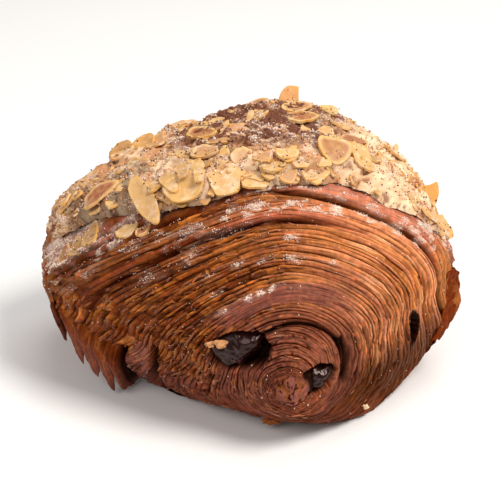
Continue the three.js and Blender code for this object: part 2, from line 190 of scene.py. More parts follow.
# The torn layers that hang down low on the left: the roots and the ends of their ragged tips.
TIP_ROOTS = [
    (-50.4, -13.0, 31.0), (-45.8, -19.2, 28.4), (-42.5, -22.4, 25.3),
    (-39.6, -24.7, 22.7), (-36.7, -26.9, 21.0), (-32.3, -23.2, 14.0),
]
TIP_ENDS = [
    (-47.4, -13.3, 12.5), (-43.7, -14.0, 5.5), (-40.4, -16.5, 3.2),
    (-36.7, -20.6, 1.2), (-34.2, -21.0, 1.2), (-30.0, -15.6, 1.4),
]
TIP_OUTWARD = (-0.55, -0.8, 0.25)
TIP_NOTCH = 0.36

# The layers along which the dough gapes low on the left, by angle: a hollow, and a split right of it.
HOLLOW_LINE = [(200, 0.745), (227, 0.698), (240, 0.672)]
SPLIT_LINE = [(187, 0.659), (212, 0.607), (235, 0.609)]

# The loose flap low on the right: its angles, and how far it stands off the rim.
FLAP = {"from": -30, "to": 7, "reach": 1.9}

# Angles at which edges of the rolled sheets show on the skin between the ends.
SKIN_EDGES = (-62, -24, 9, 160, 196, 238)

# How far behind the front rim edges of sheets show on the left, as shares of the way back.
RIM_SHEETS = (0.03, 0.085, 0.15)

# Streaks of sugar on the layers: angle, share of the way out, half length in degrees, half breadth.
SUGAR_STREAKS = [
    (141.4, 0.814, 5.0, 0.024), (127.0, 0.816, 4.5, 0.024), (126.3, 0.693, 2.5, 0.015),
    (128.4, 0.598, 3.0, 0.015), (134.9, 0.501, 4.0, 0.018), (113.8, 0.685, 3.0, 0.015),
    (102.0, 0.656, 3.5, 0.015), (85.6, 0.648, 4.0, 0.018), (86.2, 0.754, 3.0, 0.018),
    (68.6, 0.646, 3.0, 0.012),
]

# Loose bits of dough: where they lie, their radii and their colours.
BITS = [
    ((-13.0, -46.2, 27.6), (1.9, 0.9, 1.0), "cream"),
    ((-15.6, -44.9, 27.0), (1.2, 0.8, 0.6), "cream"),
    ((22.5, -41.9, 4.0), (0.8, 0.6, 0.6), "cream_pale"),
    ((-0.5, -42.8, 2.9), (2.2, 1.2, 0.9), "layer"),
]

# Colours of the baked dough, the cream, the almonds and the chocolate, as they appear on screen.
COLOURS = {
    "peach": (202, 128, 88),
    "amber": (178, 108, 44),
    "gold": (206, 132, 66),
    "layer": (150, 86, 46),
    "brown": (112, 48, 10),
    # Dark is the dough's own darkest brown and also painted shade in grooves, cracks and pits; gap is
    # painted shade for gaps and hollows.
    "dark": (60, 14, 3),
    "gap": (24, 8, 4),
    "purple": (126, 74, 64),
    "plum": (188, 106, 80),
    "rose": (188, 116, 92),
    "flap": (104, 36, 5),
    "sugar": (250, 224, 206),
    # Ridge is a painted highlight for the crests of the layers.
    "ridge": (236, 174, 130),
    "crumb": (240, 188, 146),
    "cream": (204, 148, 102),
    "cream_pale": (242, 210, 172),
    "cream_brown": (116, 60, 34),
    "powder": (92, 46, 28),
    "almond": (220, 178, 114),
    "almond_edge": (222, 158, 72),
    "almond_brown": (162, 92, 52),
    "speck": (62, 32, 22),
    "chocolate": (30, 10, 8),
    "chocolate_light": (62, 34, 32),
}

# What light does in and on each stuff, the same all over it.
DOUGH_LIGHT = {
    "Specular IOR Level": 0.06, "Specular Tint": (1.0, 0.55, 0.25, 1),
    "Subsurface Weight": 0.08, "Subsurface Radius": (1.0, 0.42, 0.2), "Subsurface Scale": 0.0007,
}
CHOCOLATE_LIGHT = {"Specular IOR Level": 0.32, "Specular Tint": (1.0, 0.76, 0.72, 1)}
CREAM_LIGHT = {
    "Specular IOR Level": 0.3,
    "Subsurface Weight": 0.08, "Subsurface Radius": (1.0, 0.6, 0.35), "Subsurface Scale": 0.0008,
}
ALMOND_LIGHT = {
    "Subsurface Weight": 0.2, "Subsurface Radius": (1.0, 0.7, 0.4), "Subsurface Scale": 0.0015,
}
GRAIN_LIGHT = {"Subsurface Radius": (1.0, 0.8, 0.7), "Subsurface Scale": 0.0006}

# Small chips of dough on the turns: how many, their seed, and their outline along and across.
SHARDS = {"outer": (300, 11), "inner": (50, 12)}
SHARD_ALONG = np.array([-1, -0.35, 0.3, 1])[:, None, None]
SHARD_ACROSS = np.array([[-1, 0.2], [-1, 1], [-1, 0.8], [-1, -0.3]])[..., None]

# Kinds of loose grains: how they gather where sugar lies, how many lie elsewhere, how clumped they are,
# how far their sizes lean to the small ones, and how far they stand off.
GRAIN_KINDS = {
    "sugar": {"power": 1.5, "scatter": 0.0001, "gather": 1, "lean": 1, "off": 0.1},
    "crumbs": {"power": 0.6, "scatter": 0.004, "gather": 0, "lean": 2, "off": 0.1},
    "specks": {"power": 1, "scatter": 0.12, "gather": 0.4, "lean": 1, "off": 0.05},
}

# What grains of each colour are made of: material, the colour it is mottled with, roughness, and
# translucence.
GRAIN_STUFF = {
    "sugar": ("sugar_crystals", "sugar", 0.25, 0.3),
    "speck": ("toasted_specks", "speck", 0.6, 0.05),
    "cream": ("cream_crumbs", "cream", 0.7, 0.1),
    "crumb": ("dough_crumbs", "layer", 0.5, 0.1),
}

# The grains: kind, what they lie on, colour, number, seed, smallest and largest size.
GRAINS = [
    ("sugar", "outer_turns", "sugar", 5600, 1, (0.07, 0.19)),
    ("sugar", "inner_turns", "sugar", 120, 2, (0.1, 0.26)),
    ("sugar", "skin", "sugar", 3600, 3, (0.08, 0.2)),
    ("sugar", "crust", "sugar", 6500, 4, (0.1, 0.28)),
    ("sugar", "flakes", "sugar", 900, 8, (0.08, 0.2)),
    ("crumbs", "crust", "cream", 2600, 21, (0.2, 0.6)),
    ("crumbs", "outer_turns", "crumb", 1300, 22, (0.05, 0.17)),
    ("specks", "crust", "speck", 2000, 5, (0.1, 0.3)),
    ("specks", "flakes", "speck", 900, 9, (0.1, 0.3)),
]

# Where the eye stands: what it looks at, how far off, from which side and how high, and its lens.
CAMERA = {
    "target": (0.7, -4.0, 31.5), "distance": 350, "azimuth": -9, "elevation": 27,
    "lens": 99.54, "sensor": 36, "nearest": 0.01,
}

# Soft round lamps: side and height in degrees, distance and size in metres, watts, colour. They all
# face one point.
LAMPS = {
    "key": (52, 54, 0.9, 0.4, 7.6, (1.0, 0.96, 0.9)),
    "fill": (-46, 42, 1.1, 0.7, 4.2, (1.0, 0.97, 0.95)),
    "top": (150, 70, 0.9, 0.6, 2.4, (1.0, 0.98, 0.96)),
}
LAMP_TARGET = (0, 0, 0.03)
SKY = {"colour": (1.0, 0.98, 0.95, 1), "strength": 0.28}
FLOOR = {"size": 6, "colour": (0.9, 0.9, 0.9, 1)}

# What a piece stands for, and a slot name.
PASTRY = {"node": "pastry", "slot": "pastry"}
CRUST = {"node": "almond_crust", "slot": "almond_crust"}

# A crystal's corners and faces.
CRYSTAL = np.array([[1, 0, 0], [-1, 0, 0], [0, 1, 0], [0, -1, 0], [0, 0, 1], [0, 0, -1]], float)
CRYSTAL_FACES = np.array(
    [[0, 2, 4], [2, 1, 4], [1, 3, 4], [3, 0, 4], [2, 0, 5], [1, 2, 5], [3, 1, 5], [0, 3, 5]]
)

# A flake: its shares across and along the crust, size, spin and tip in degrees, lift, squareness,
# broken sides, thickness, cells across it, and toast.
Flake = namedtuple(
    "Flake", "across along length width spin tip lift square breaks thickness cells toast"
)


def clamp01(x):
    return np.clip(x, 0, 1)


def mix(a, b, f):
    return a + (b - a) * f


def smooth(x):
    x = clamp01(x)
    return x * x * (3 - 2 * x)


def past(x, edge, soft):
    """0 up to an edge, then rising to 1 over a soft width."""
    return smooth((x - edge) / soft)


def before(x, edge, soft):
    """0 from an edge on, and rising to 1 over a soft width ahead of it."""
    return smooth((edge - x) / soft)


def bell(x):
    return np.exp(-x * x)


def srgb(name):
    """A named colour as linear light."""
    c = np.array(COLOURS[name]) / 255
    return np.where(c <= 0.04045, c / 12.92, ((c + 0.055) / 1.055) ** 2.4)


def blend(colour, other, share):
    """Mixes two colours, given as arrays or by name, by an array of shares."""
    colour, other = (srgb(c) if isinstance(c, str) else c for c in (colour, other))
    return colour + (other - colour) * np.asarray(share)[..., None]


def draw(a, b):
    """A fixed draw between 0 and 1 for each pair of numbers."""
    s = np.sin(a * 127.1 + b * 311.7) * 43758.5453
    return s - np.floor(s)


def waver(x, y):
    """A smooth field of fixed draws, between -1 and 1."""
    x, y = np.broadcast_arrays(np.asarray(x, float), np.asarray(y, float))
    i, j = np.floor(x), np.floor(y)
    u, v = smooth(x - i), smooth(y - j)
    low = mix(draw(i, j), draw(i + 1, j), u)
    high = mix(draw(i, j + 1), draw(i + 1, j + 1), u)
    return mix(low, high, v) * 2 - 1


def rough_field(x, y, octaves=3):
    """Wavers of finer and finer size, added up."""
    total = 0
    for k in range(octaves):
        total = total + waver(x * 2**k + 17.3 * k, y * 2**k + 9.1 * k) / 2**k
    return total / (2 - 2.0 ** (1 - octaves))


def angle_gap(a, b):
    return np.arctan2(np.sin(a - b), np.cos(a - b))


def near(t, degrees, half_width):
    """1 at an angle, falling off over a half-width, both in degrees."""
    return bell(angle_gap(t, math.radians(degrees)) / math.radians(half_width))


def within(t, start, end, soft=12):
    """1 between two angles in degrees, with soft ends."""
    half = math.radians(end - start) / 2
    off = np.abs(angle_gap(t, math.radians(start) + half))
    return smooth((half - off) / math.radians(soft) + 0.5)


def quarter(t, table):
    """What a table says for the quarter in which an angle lies."""
    upper = np.where(np.cos(t) < 0, table["upper_left"], table["upper_right"])
    lower = np.where(np.cos(t) < 0, table["lower_left"], table["lower_right"])
    return np.where(np.sin(t) >= 0, upper, lower)


def outline(t):
    """Outline of the roll at angle t (0 right, a quarter turn up), cut flat where it rests."""
    n = 2 / quarter(t, POWER)
    c, s = np.cos(t), np.sin(t)
    reach = np.where(s >= 0, SECTION["rise"], SECTION["fall"])
    lean = np.where(s >= 0, SECTION["top_shift"] * s, -SECTION["base_shift"] * s)
    x = np.where(c > 0, SECTION["right"], -SECTION["left"]) * np.abs(c) ** n + lean
    z = np.maximum(0, SECTION["mid_height"] + reach * np.sign(s) * np.abs(s) ** n)
    return x, z


def rim_y(end, t):
    """Where the rim of an end stands along Y."""
    c, s = np.cos(t), np.sin(t)
    sides = c * c * np.where(c > 0, end["right"], end["left"])
    sides = sides + s * s * np.where(s > 0, end["top"], end["bottom"])
    keel = end["keel"] * near(t, KEEL["angle"], KEEL["half_angle"])
    return sides + keel + quarter(t, end) * np.sin(2 * t) ** 2


def end_point(end, rho, t):
    """Point of an end: rho runs from 0 at the core, over the inner roll, to 1 at the rim."""
    share = INNER_ROLL["share"]
    roll_x = INNER_ROLL["x"] + INNER_ROLL["radius"] * np.cos(t)
    roll_z = INNER_ROLL["z"] + INNER_ROLL["radius"] * np.sin(t)
    rim_x, rim_z = outline(t)
    inner = clamp01(rho / share)
    outer = np.maximum(0, (rho - share) / (1 - share))
    x = np.where(rho < share, mix(CORE[0], roll_x, inner), mix(roll_x, rim_x, outer))
    z = np.where(rho < share, mix(CORE[1], roll_z, inner), mix(roll_z, rim_z, outer))
    y = mix(end["core"], rim_y(end, t), np.clip(rho, 0, 1) ** DOME_POWER)
    return np.stack([x, y, z], -1)


def skin_point(t, v):
    """Point of the skin: v runs from 0 at the front rim to 1 at the back rim."""
    rim_x, rim_z = outline(t)
    swell = 1 - (2 * v - 1) ** 2
    x = rim_x * (1 + SWELL["width"] * swell)
    y = mix(rim_y(FRONT, t), rim_y(BACK, t), v)
    z = rim_z + SWELL["height"] * np.maximum(0, np.sin(t)) * swell
    return np.stack([x, y, z], -1)


def unit(a):
    return a / np.maximum(np.linalg.norm(a, axis=-1, keepdims=True), 1e-9)


def normal_of(point, a, b, step=2e-3):
    along_a = point(a + step, b) - point(a - step, b)
    along_b = point(a, b + step) - point(a, b - step)
    return unit(np.cross(along_a, along_b))


def end_normal(end, rho, t):
    inside = np.clip(rho, 0.02, 0.985)
    return normal_of(lambda r, a: end_point(end, r, a), inside, t) * end["facing"]


def skin_normal(t, v):
    return -normal_of(skin_point, t, v)


def grid(rows, columns):
    """Two lists of values, spread over the rows and the columns of a grid."""
    return np.meshgrid(rows, columns, indexing="ij")


def grid_faces(rows, columns):
    """Four-cornered faces of a grid of points stored row by row."""
    index = np.arange(rows * columns).reshape(rows, columns)
    corners = [index[:-1, :-1], index[:-1, 1:], index[1:, 1:], index[1:, :-1]]
    return np.stack(corners, -1).reshape(-1, 4)


def make_piece(name, points, faces, material, tint, marks=None, flat=None, node="pastry", slot="pastry"):
    """A mesh piece in metres, with colours and marks on its points, standing for a node."""
    mesh = bpy.data.meshes.new(name)
    points = (np.asarray(points, float).reshape(-1, 3) + CENTRE) * MM
    points[:, 2] = np.maximum(points[:, 2], 0)
    mesh.vertices.add(len(points))
    mesh.vertices.foreach_set("co", points.astype(np.float32).ravel())
    mesh.loops.add(faces.size)
    mesh.loops.foreach_set("vertex_index", faces.astype(np.int32).ravel())
    mesh.polygons.add(len(faces))
    mesh.polygons.foreach_set("loop_start", np.arange(0, faces.size, faces.shape[1], dtype=np.int32))
    mesh.update(calc_edges=True)
    mesh.validate()
    rounded = np.ones(len(mesh.polygons), bool) if flat is None else ~flat
    mesh.polygons.foreach_set("use_smooth", rounded)
    rgba = np.ones((len(points), 4), np.float32)
    rgba[:, :3] = clamp01(tint.reshape(-1, 3))
    mesh.color_attributes.new("tint", "FLOAT_COLOR", "POINT").data.foreach_set("color", rgba.ravel())
    for key, values in (marks or {}).items():
        values = np.full(len(points), np.ravel(values), np.float32)
        mesh.attributes.new(key, "FLOAT", "POINT").data.foreach_set("value", values)
    mesh.materials.append(material)
    piece = bpy.data.objects.new(name, mesh)
    bpy.context.scene.collection.objects.link(piece)
    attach(piece, "root")
    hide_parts(node)
    return piece


class Surface:
    """A material in the making: its nodes, and short ways to add and link them."""

    def __init__(self, name):
        self.material = bpy.data.materials.new(name)
        self.material.use_nodes = True
        self.tree = self.material.node_tree
        self.shader = self.tree.nodes["Principled BSDF"]
        self.place = self.node("TexCoord", {}).outputs["Object"]

    def put(self, node, inputs):
        """Links outputs of other nodes to a node's inputs, and sets fixed values on them."""
        for key, value in inputs.items():
            if isinstance(value, bpy.types.NodeSocket):
                self.tree.links.new(value, node.inputs[key])
            else:
                node.inputs[key].default_value = value

    def node(self, kind, inputs, **settings):
        node = self.tree.nodes.new("ShaderNode" + kind)
        for key, value in settings.items():
            setattr(node, key, value)
        self.put(node, inputs)
        return node

    def mark(self, name, output="Fac"):
        """A mark that the piece has on its points."""
        return self.node("Attribute", {}, attribute_name=name).outputs[output]

    def noise(self, scale, detail=3, roughness=0.55, place=None):
        place = place or self.place
        inputs = {"Vector": place, "Scale": scale, "Detail": detail, "Roughness": roughness}
        return self.node("TexNoise", inputs).outputs["Fac"]

    def ramp(self, value, low, high, from_level=0, to_level=1):
        inputs = {
            "Value": value, "From Min": low, "From Max": high, "To Min": from_level, "To Max": to_level,
        }
        return self.node("MapRange", inputs).outputs["Result"]

    def times(self, a, b):
        return self.node("Math", {0: a, 1: b}, operation="MULTIPLY").outputs["Value"]

    def mix(self, share, base, colour, kind="MIX"):
        """Mixes a linked colour with a named one."""
        inputs = {"Factor": share, 6: base, 7: (*srgb(colour), 1)}
        return self.node("Mix", inputs, data_type="RGBA", blend_type=kind).outputs[2]

    def leaf_lines(self):
        """Fine leaves within each layer: a noise drawn out along the rolled sheet."""
        place = self.node("CombineXYZ", {"X": self.mark("sheet"), "Y": self.mark("way")})
        return self.noise(2.3, 2, 0.5, place.outputs["Vector"])

    def bump(self, height, strength, distance):
        inputs = {"Height": height, "Strength": strength, "Distance": distance}
        self.put(self.shader, {"Normal": self.node("Bump", inputs).outputs["Normal"]})

    def finish(self, base, roughness, light):
        self.put(self.shader, {"Base Color": base, "Roughness": roughness, **light})
        return self.material


def dough_material():
    """Baked dough: mottled, slightly translucent, glazed in places and dusted with sugar."""
    dough = Surface("baked_dough")
    mottle, grain, lines = dough.noise(900, 4), dough.noise(3800, 2), dough.leaf_lines()
    base = dough.mix(dough.ramp(mottle, 0.5, 0.85, 0, 0.5), dough.mark("tint", "Color"), "dark")
    base = dough.mix(dough.ramp(mottle, 0.48, 0.2, 0, 0.9), base, "sugar", "OVERLAY")
    # Fine leaves: the dark lines are painted shade between them and the pale lines painted light on
    # their edges.
    base = dough.mix(dough.ramp(lines, 0.48, 0.3, 0, 0.65), base, "dark")
    base = dough.mix(dough.ramp(lines, 0.52, 0.7, 0, 0.6), base, "sugar", "OVERLAY")
    dust = dough.times(dough.ramp(grain, 0.34, 0.56), dough.mark("sugar"))
    base = dough.mix(dust, base, "sugar")
    dough.bump(grain, 0.35, 0.0002)
    return dough.finish(base, dough.ramp(dough.mark("glaze"), 0, 1, 0.62, 0.26), DOUGH_LIGHT)


def chocolate_material():
    """Dark chocolate, glossy, with lighter streaks."""
    dark = Surface("dark_chocolate")
    streaks = dark.noise(420, 4)
    bloom = dark.ramp(streaks, 0.55, 0.8, 0, 0.35)
    base = dark.mix(bloom, dark.mark("tint", "Color"), "chocolate_light")
    dark.bump(streaks, 0.25, 0.0004)
    return dark.finish(base, dark.ramp(streaks, 0.3, 0.7, 0.1, 0.3), CHOCOLATE_LIGHT)


def cream_material():
    """Baked almond cream: grainy, browned where it stands high, dusted with icing sugar."""
    cream = Surface("baked_almond_cream")
    lumps, grain, crumbs = cream.noise(700, 4, 0.6), cream.noise(3200, 3, 0.6), cream.noise(1500, 3, 0.6)
    base = cream.mix(cream.ramp(lumps, 0.52, 0.75, 0, 0.55), cream.mark("tint", "Color"), "cream_brown")
    powder = cream.times(cream.ramp(crumbs, 0.34, 0.52), cream.mark("dusky"))
    base = cream.mix(powder, base, "powder")
    dust = cream.times(cream.ramp(grain, 0.42, 0.6), cream.mark("sugar"))
    base = cream.mix(dust, base, "sugar")
    cream.bump(grain, 0.5, 0.0003)
    return cream.finish(base, cream.ramp(lumps, 0.3, 0.7, 0.85, 0.6), CREAM_LIGHT)


def almond_material():
    """Sliced almond: pale flesh, toasted in spots."""
    almond = Surface("sliced_almond")
    flesh, grain = almond.noise(500), almond.noise(2600, 2)
    toast = almond.ramp(flesh, 0.55, 0.8, 0, 0.45)
    base = almond.mix(toast, almond.mark("tint", "Color"), "almond_brown")
    almond.bump(grain, 0.25, 0.0002)
    return almond.finish(base, almond.ramp(grain, 0.3, 0.7, 0.42, 0.6), ALMOND_LIGHT)


def grain_material(name, colour, roughness, clear):
    """Small loose grains, each patch of them a little lighter or darker."""
    grains = Surface(name)
    shade = grains.noise(1500, 2)
    base = grains.mix(grains.ramp(shade, 0.4, 0.7, 0, 0.5), grains.mark("tint", "Color"), colour)
    rough = grains.ramp(shade, 0.3, 0.7, roughness, roughness + 0.2)
    return grains.finish(base, rough, {"Subsurface Weight": clear, **GRAIN_LIGHT})


def edge_rho(turns):
    """Share of the way out at which the sheet's edge lies after a number of turns."""
    inner = np.where(turns < 0, SPIRAL["heart"], mix(SPIRAL["start"], SPIRAL["first"], turns))
    return np.where(turns < 1, inner, SPIRAL["first"] + SPIRAL["pitch"] * (turns - 1))


def spread(rho, t):
    """Where a layer lies: low on the sides the layers run out through the rim, on the left they sag."""
    share = INNER_ROLL["share"]
    out = np.maximum(0, rho - share) / (1 - share)
    low = np.degrees(np.arcsin(np.maximum(0, -np.sin(t))))
    pushed = out * (1 + (low / 57) ** 1.7)
    sag = 0.07 * near(t, 175, 45) * 4 * pushed * np.maximum(0, 1 - pushed)
    return np.where(rho < share, rho, share + (1 - share) * pushed - sag)


def layer_profile(phase, crest, trough):
    """Height across one layer: a narrow gap, then the blunt edge of the sheet."""
    shape = np.interp(phase, [0, 0.06, 0.16, 0.5, 0.84, 0.94, 1], [0, 0.12, 0.93, 1, 0.93, 0.12, 0])
    return shape * (crest + trough) - trough


class Face:
    """A stretch of the rolled sheet at one end, as a grid of turns by layers."""

    def __init__(self, end, mesh, first, last):
        self.end = end
        layers, phases = mesh["layers"], mesh["phases"]
        columns = int(round((last - first) * mesh["columns"]))
        self.u = np.linspace(first, last, columns + 1)[:, None]
        self.layer = np.append(np.repeat(np.arange(layers), len(phases)), layers - 1)
        self.phase = np.append(np.tile(phases, layers), 1.0)
        self.row = np.arange(len(self.layer))
        self.t = math.radians(SPIRAL["start_angle"]) + TURN * self.u + 0 * self.row
        self.gap = self.layer + (self.phase > 0.5)
        edges = np.arange(layers + 1)
        sway = 0.36 * waver(self.u * 9 + 3, edges * 1.37) + 0.22 * waver(self.u * 31, edges * 2.11)
        bounds = (edges + sway * np.minimum(1, np.minimum(edges, layers - edges))) / layers
        across = mix(bounds[:, self.layer], bounds[:, self.layer + 1], self.phase)
        self.nominal = mix(edge_rho(self.u), edge_rho(self.u + 1), across)
        self.loose = spread(self.nominal, self.t)
        self.rho = np.minimum(self.loose, 1 + 2e-5 * self.row)
        self.smooth_points = end_point(end, self.rho, self.t)
        self.room = self.breadth_of_layers(layers)

    def breadth_of_layers(self, layers):
        """Breadth of a layer at each point, in millimetres."""
        width = (edge_rho(self.u + 1) - edge_rho(self.u)) / layers
        step = 1e-3
        outer = end_point(self.end, np.minimum(spread(self.nominal + step, self.t), 1.1), self.t)
        inner = end_point(self.end, np.minimum(spread(self.nominal - step, self.t), 1.1), self.t)
        return np.linalg.norm(outer - inner, axis=-1) / (2 * step) * width

    def wave(self, along, per_layer, seed):
        return waver(self.u * along + seed, self.layer * per_layer + seed * 3.7)

    def gap_wave(self, along, per_gap, seed):
        return waver(self.u * along + seed, self.gap * per_gap + seed * 3.7)


def left_share(t):
    """1 on the rough, dark left side of the roll, 0 on the fine, pale right side."""
    return before(np.cos(t), 0.42, 1)


def calm_share(t):
    """1 where the layers run smoothly, low on the left and under the roll."""
    return within(t, 208, 300, 26)


def deep_share(face):
    """1 where the gaps between the layers are deep: right of the inner roll and under it."""
    right = within(face.t, -48, 36, 18) * before(face.rho, 0.8, 0.15)
    return np.maximum(right, 0.7 * calm_share(face.t)) * past(face.rho, 0.3, 0.06)


def coarse_share(face):
    """1 where only every second layer shows its gap: in the inner roll, beside it and over the top."""
    inner = np.maximum(before(face.rho, 0.44, 0.12), 0.85 * deep_share(face))
    return np.maximum(inner, 0.8 * within(face.t, 50, 165, 50) + 0.2 * within(face.t, 120, 250, 40))


def purple_band(face):
    """The smooth outer skin of the sheet that shows over the inner roll."""
    across = past(face.rho, 0.41, 0.02) * before(face.rho, 0.535, 0.03)
    return across * within(face.t, 55, 142, 30)


def nicks(face):
    """Short breaks in single layers."""
    broken = past(face.wave(44, 6.1, 73), 0.55, 0.2)
    return broken * (1 - 0.8 * coarse_share(face) * (face.layer % 2))


def leaves(face):
    """Leaves of layers that part from each other: height, place across each, and how far it parts."""
    order = face.nominal * 27
    warp = 0.5 * waver(face.u * 22, order * 0.6) + 0.24 * waver(face.u * 62 + 5, order * 1.1)
    warp = warp + 0.14 * waver(face.u * 150 + 9, order * 2.1)
    place = order + warp * (0.3 + left_share(face.t))
    share = place - np.floor(place)
    strength = smooth(0.55 + 0.9 * waver(face.u * 19 + 7, np.floor(place) * 1.7))
    step = share * before(share, 1, 0.1)
    return strength * (step - 0.4), share, strength


def shingles(face):
    """Short pieces into which the layers break: a fixed draw for each, and the place along it."""
    pair = face.layer // 2
    place = face.u * 58 + 3.1 * draw(pair, 5.5) + 0.4 * waver(face.u * 130, pair * 1.9)
    piece = np.floor(place)
    return draw(piece, pair * 1.37), draw(piece, pair * 2.11 + 9), place - piece


def layer_gaps(face):
    """How open the gap beside each point is, and how much of the point is the sheet's own edge."""
    rough, low = left_share(face.t), before(np.sin(face.t), 0.1, 0.7)
    wide = np.maximum(before(face.rho, 0.44, 0.12), deep_share(face))
    gaps = mix(face.gap_wave(11, 2.3, 11), face.gap_wave(34, 2.3, 17), rough)
    open_gap = smooth(0.42 + 1.2 * gaps + 0.25 * np.maximum(rough, low) + 0.4 * wide)
    open_gap = open_gap * (1 - 0.9 * (face.gap % 2) * coarse_share(face))
    from_gap = np.minimum(face.phase, 1 - face.phase) * face.room
    shoulder = mix(0.12, 0.19, np.maximum(wide, 0.6 * low))
    return open_gap, past(from_gap, mix(0.03, 0.08, wide), shoulder)


def face_relief(face, open_gap, plateau):
    """Height of the layers over the smooth dome."""
    rough, deep, band = left_share(face.t), deep_share(face), purple_band(face)
    fine = clamp01(face.room / 0.6)
    crest = LAYER["crest"] * (0.6 + 0.5 * face.wave(23, 1.9, 5)) * (1 + 0.5 * rough)
    trough = LAYER["trough"] * (0.08 + 1.3 * open_gap) * mix(0.7, 1.5, np.maximum(rough, deep))
    height = layer_profile(face.phase, crest, trough) * fine * (1 - 0.9 * band)
    rough = rough * (1 - 0.8 * calm_share(face.t))
    long_wave = LAYER["long_wave"] * face.wave(7, 1.3, 23) + 0.2 * face.wave(31, 2.9, 31)
    lean = LAYER["lean"] * face.wave(6, 2.7, 53) * (0.5 - face.phase)
    sheets = (long_wave + lean) * mix(0.45, 1, rough) + 0.08 * waver(face.u * 37 + 9, face.row * 1.7)
    chips = face.wave(60, 5.3, 41) * (0.15 + 0.6 * rough) + face.wave(160, 7.1, 47) * (0.1 + 0.3 * rough)
    pick, turn, share = shingles(face)
    broken = (1.1 * (pick - 0.5) + 0.9 * (turn - 0.5) * (share - 0.5)) * rough
    broken = broken * past(face.rho, 0.32, 0.1) * mix(0.35, 1, plateau)
    leaf = leaves(face)[0] * mix(0.2, 1.7, np.maximum(rough, 0.5 * deep)) * past(face.rho, 0.3, 0.1)
    height = height + (sheets + LAYER["ragged"] * chips) * plateau * fine * (1 - 0.85 * band)
    height = height - 0.4 * nicks(face) * fine * (1 - band)
    height = height + (broken + leaf) * (1 - band)
    return height + 0.4 * rough_field(face.t * 6 + 3, face.rho * 22, 3)


def groove_rho(t):
    """The layer along which the groove under the lip runs, from the right, over the top, to the left."""
    degrees = np.degrees(angle_gap(t, math.radians(110))) + 110
    return 0.836 + 0.052 * past(degrees, 85, 60)


def crack_rho(t):
    """The layer along which the crack near the rim runs, from low on the right up to the top."""
    degrees = np.degrees(angle_gap(t, math.radians(40))) + 40
    return 0.888 + 0.0006 * np.maximum(0, degrees + 10) + 0.00001 * np.maximum(0, degrees - 30) ** 2


def baton_pit(points, baton, grow, softness):
    """1 where a baton comes out of the end, 0 outside its ragged hole."""
    tilt = math.radians(baton["tilt"])
    dx, dz = points[..., 0] - baton["x"], points[..., 2] - baton["z"]
    a = (dx * math.cos(tilt) + dz * math.sin(tilt)) / (baton["half_width"] + grow)
    b = (dz * math.cos(tilt) - dx * math.sin(tilt)) / (baton["half_height"] + grow)
    ragged = 0.12 * rough_field(dx * 0.9 + 5, dz * 0.9, 3)
    return smooth((1 - np.hypot(a, b) + ragged) / softness)


def slit_shares(t, rho):
    """Place along and across the slit on the right, both 1 at its ends."""
    along = angle_gap(t, math.radians(-11)) / math.radians(12)
    across = (rho - 0.741 + 0.022 * along + 0.004 * waver(t * 30, 2.5)) / 0.027
    return along, across


def side_features(t, nominal):
    """The hollow and the split low on the left, and the tongue of dough between them."""
    degrees = np.degrees(np.mod(t, TURN))
    hollow_line = np.interp(degrees, *zip(*HOLLOW_LINE))
    split_line = np.interp(degrees, *zip(*SPLIT_LINE))
    hollow = before(np.abs(nominal - hollow_line), 0.025, 0.008) * within(t, 199, 248, 10)
    split = before(np.abs(nominal - split_line), 0.014, 0.006) * within(t, 186, 244, 12)
    tongue = past(hollow_line - nominal, 0.022, 0.008) * past(nominal - split_line, 0.012, 0.006)
    return {"side_gap": np.maximum(hollow, split), "tongue": tongue * within(t, 186, 252, 14)}


def features(face):
    """Shares of the larger features of an end at each point."""
    t, rho = face.t, face.rho
    upper, crack_part = within(t, 68, 174, 30), within(t, -20, 96, 24)
    groove, crack = face.nominal - groove_rho(t), face.nominal - crack_rho(t)
    inner = 0.272 + 0.018 * smooth((np.degrees(angle_gap(t, math.radians(60))) + 60) / 60)
    slit = np.hypot(*slit_shares(t, rho))
    thin = np.maximum(bell((rho - 0.372) / 0.007), bell((rho - 0.425) / 0.007))
    right_gap = bell((rho - 0.312) / 0.02) * within(t, -26, 34, 12) + thin * within(t, -24, 22, 10)
    pits = [baton_pit(face.smooth_points, baton, baton["hole"], 0.12) for baton in BATONS.values()]
    return {
        "groove": bell(groove / 0.011) * upper,
        "lip": bell((groove - 0.026) / 0.017) * upper,
        "ledge": past(groove, 0.045, 0.015) * before(groove, 0.115, 0.03) * within(t, 40, 178, 30),
        "crack": bell(crack / 0.009) * crack_part,
        "over": past(crack, 0.008, 0.01) * crack_part,
        "strip": before(crack, -0.014, 0.008) * past(crack, -0.07, 0.03) * within(t, -38, 74, 24),
        "inner_gap": bell((rho - inner - 0.01) / 0.013) * within(t, -20, 128, 30),
        "right_gap": right_gap,
        "slit": before(slit, 1, 0.25),
        "slit_walls": before(slit, 1.3, 0.12),
        "pit": np.maximum(*pits),
        **side_features(t, face.nominal),
    }


def face_height(face, height, marks):
    """Adds the gaps, the lip, the slit and the pits of the batons to the layers' relief."""
    lip, ledge, over, strip = marks["lip"], marks["ledge"], marks["over"], marks["strip"]
    height = height * (1 - 0.75 * lip) * (1 - 0.6 * ledge) * (1 - 0.8 * marks["tongue"])
    height = height * (1 - 0.6 * over) + 1.4 * lip + mix(0.3, 0.6, within(face.t, 24, 110, 30)) * over
    height = height - 1.7 * marks["groove"] - 2.2 * marks["crack"]
    height = height - 2.4 * marks["inner_gap"] - 2.2 * marks["right_gap"]
    height = height * (1 - 0.5 * strip) + 0.5 * strip
    height = height - 3.4 * marks["slit"] - 4.0 * marks["side_gap"] - 6 * marks["pit"]
    return (height + 0.8 * marks["tongue"]) * clamp01((1 - face.rho) / 0.02 + 0.4)


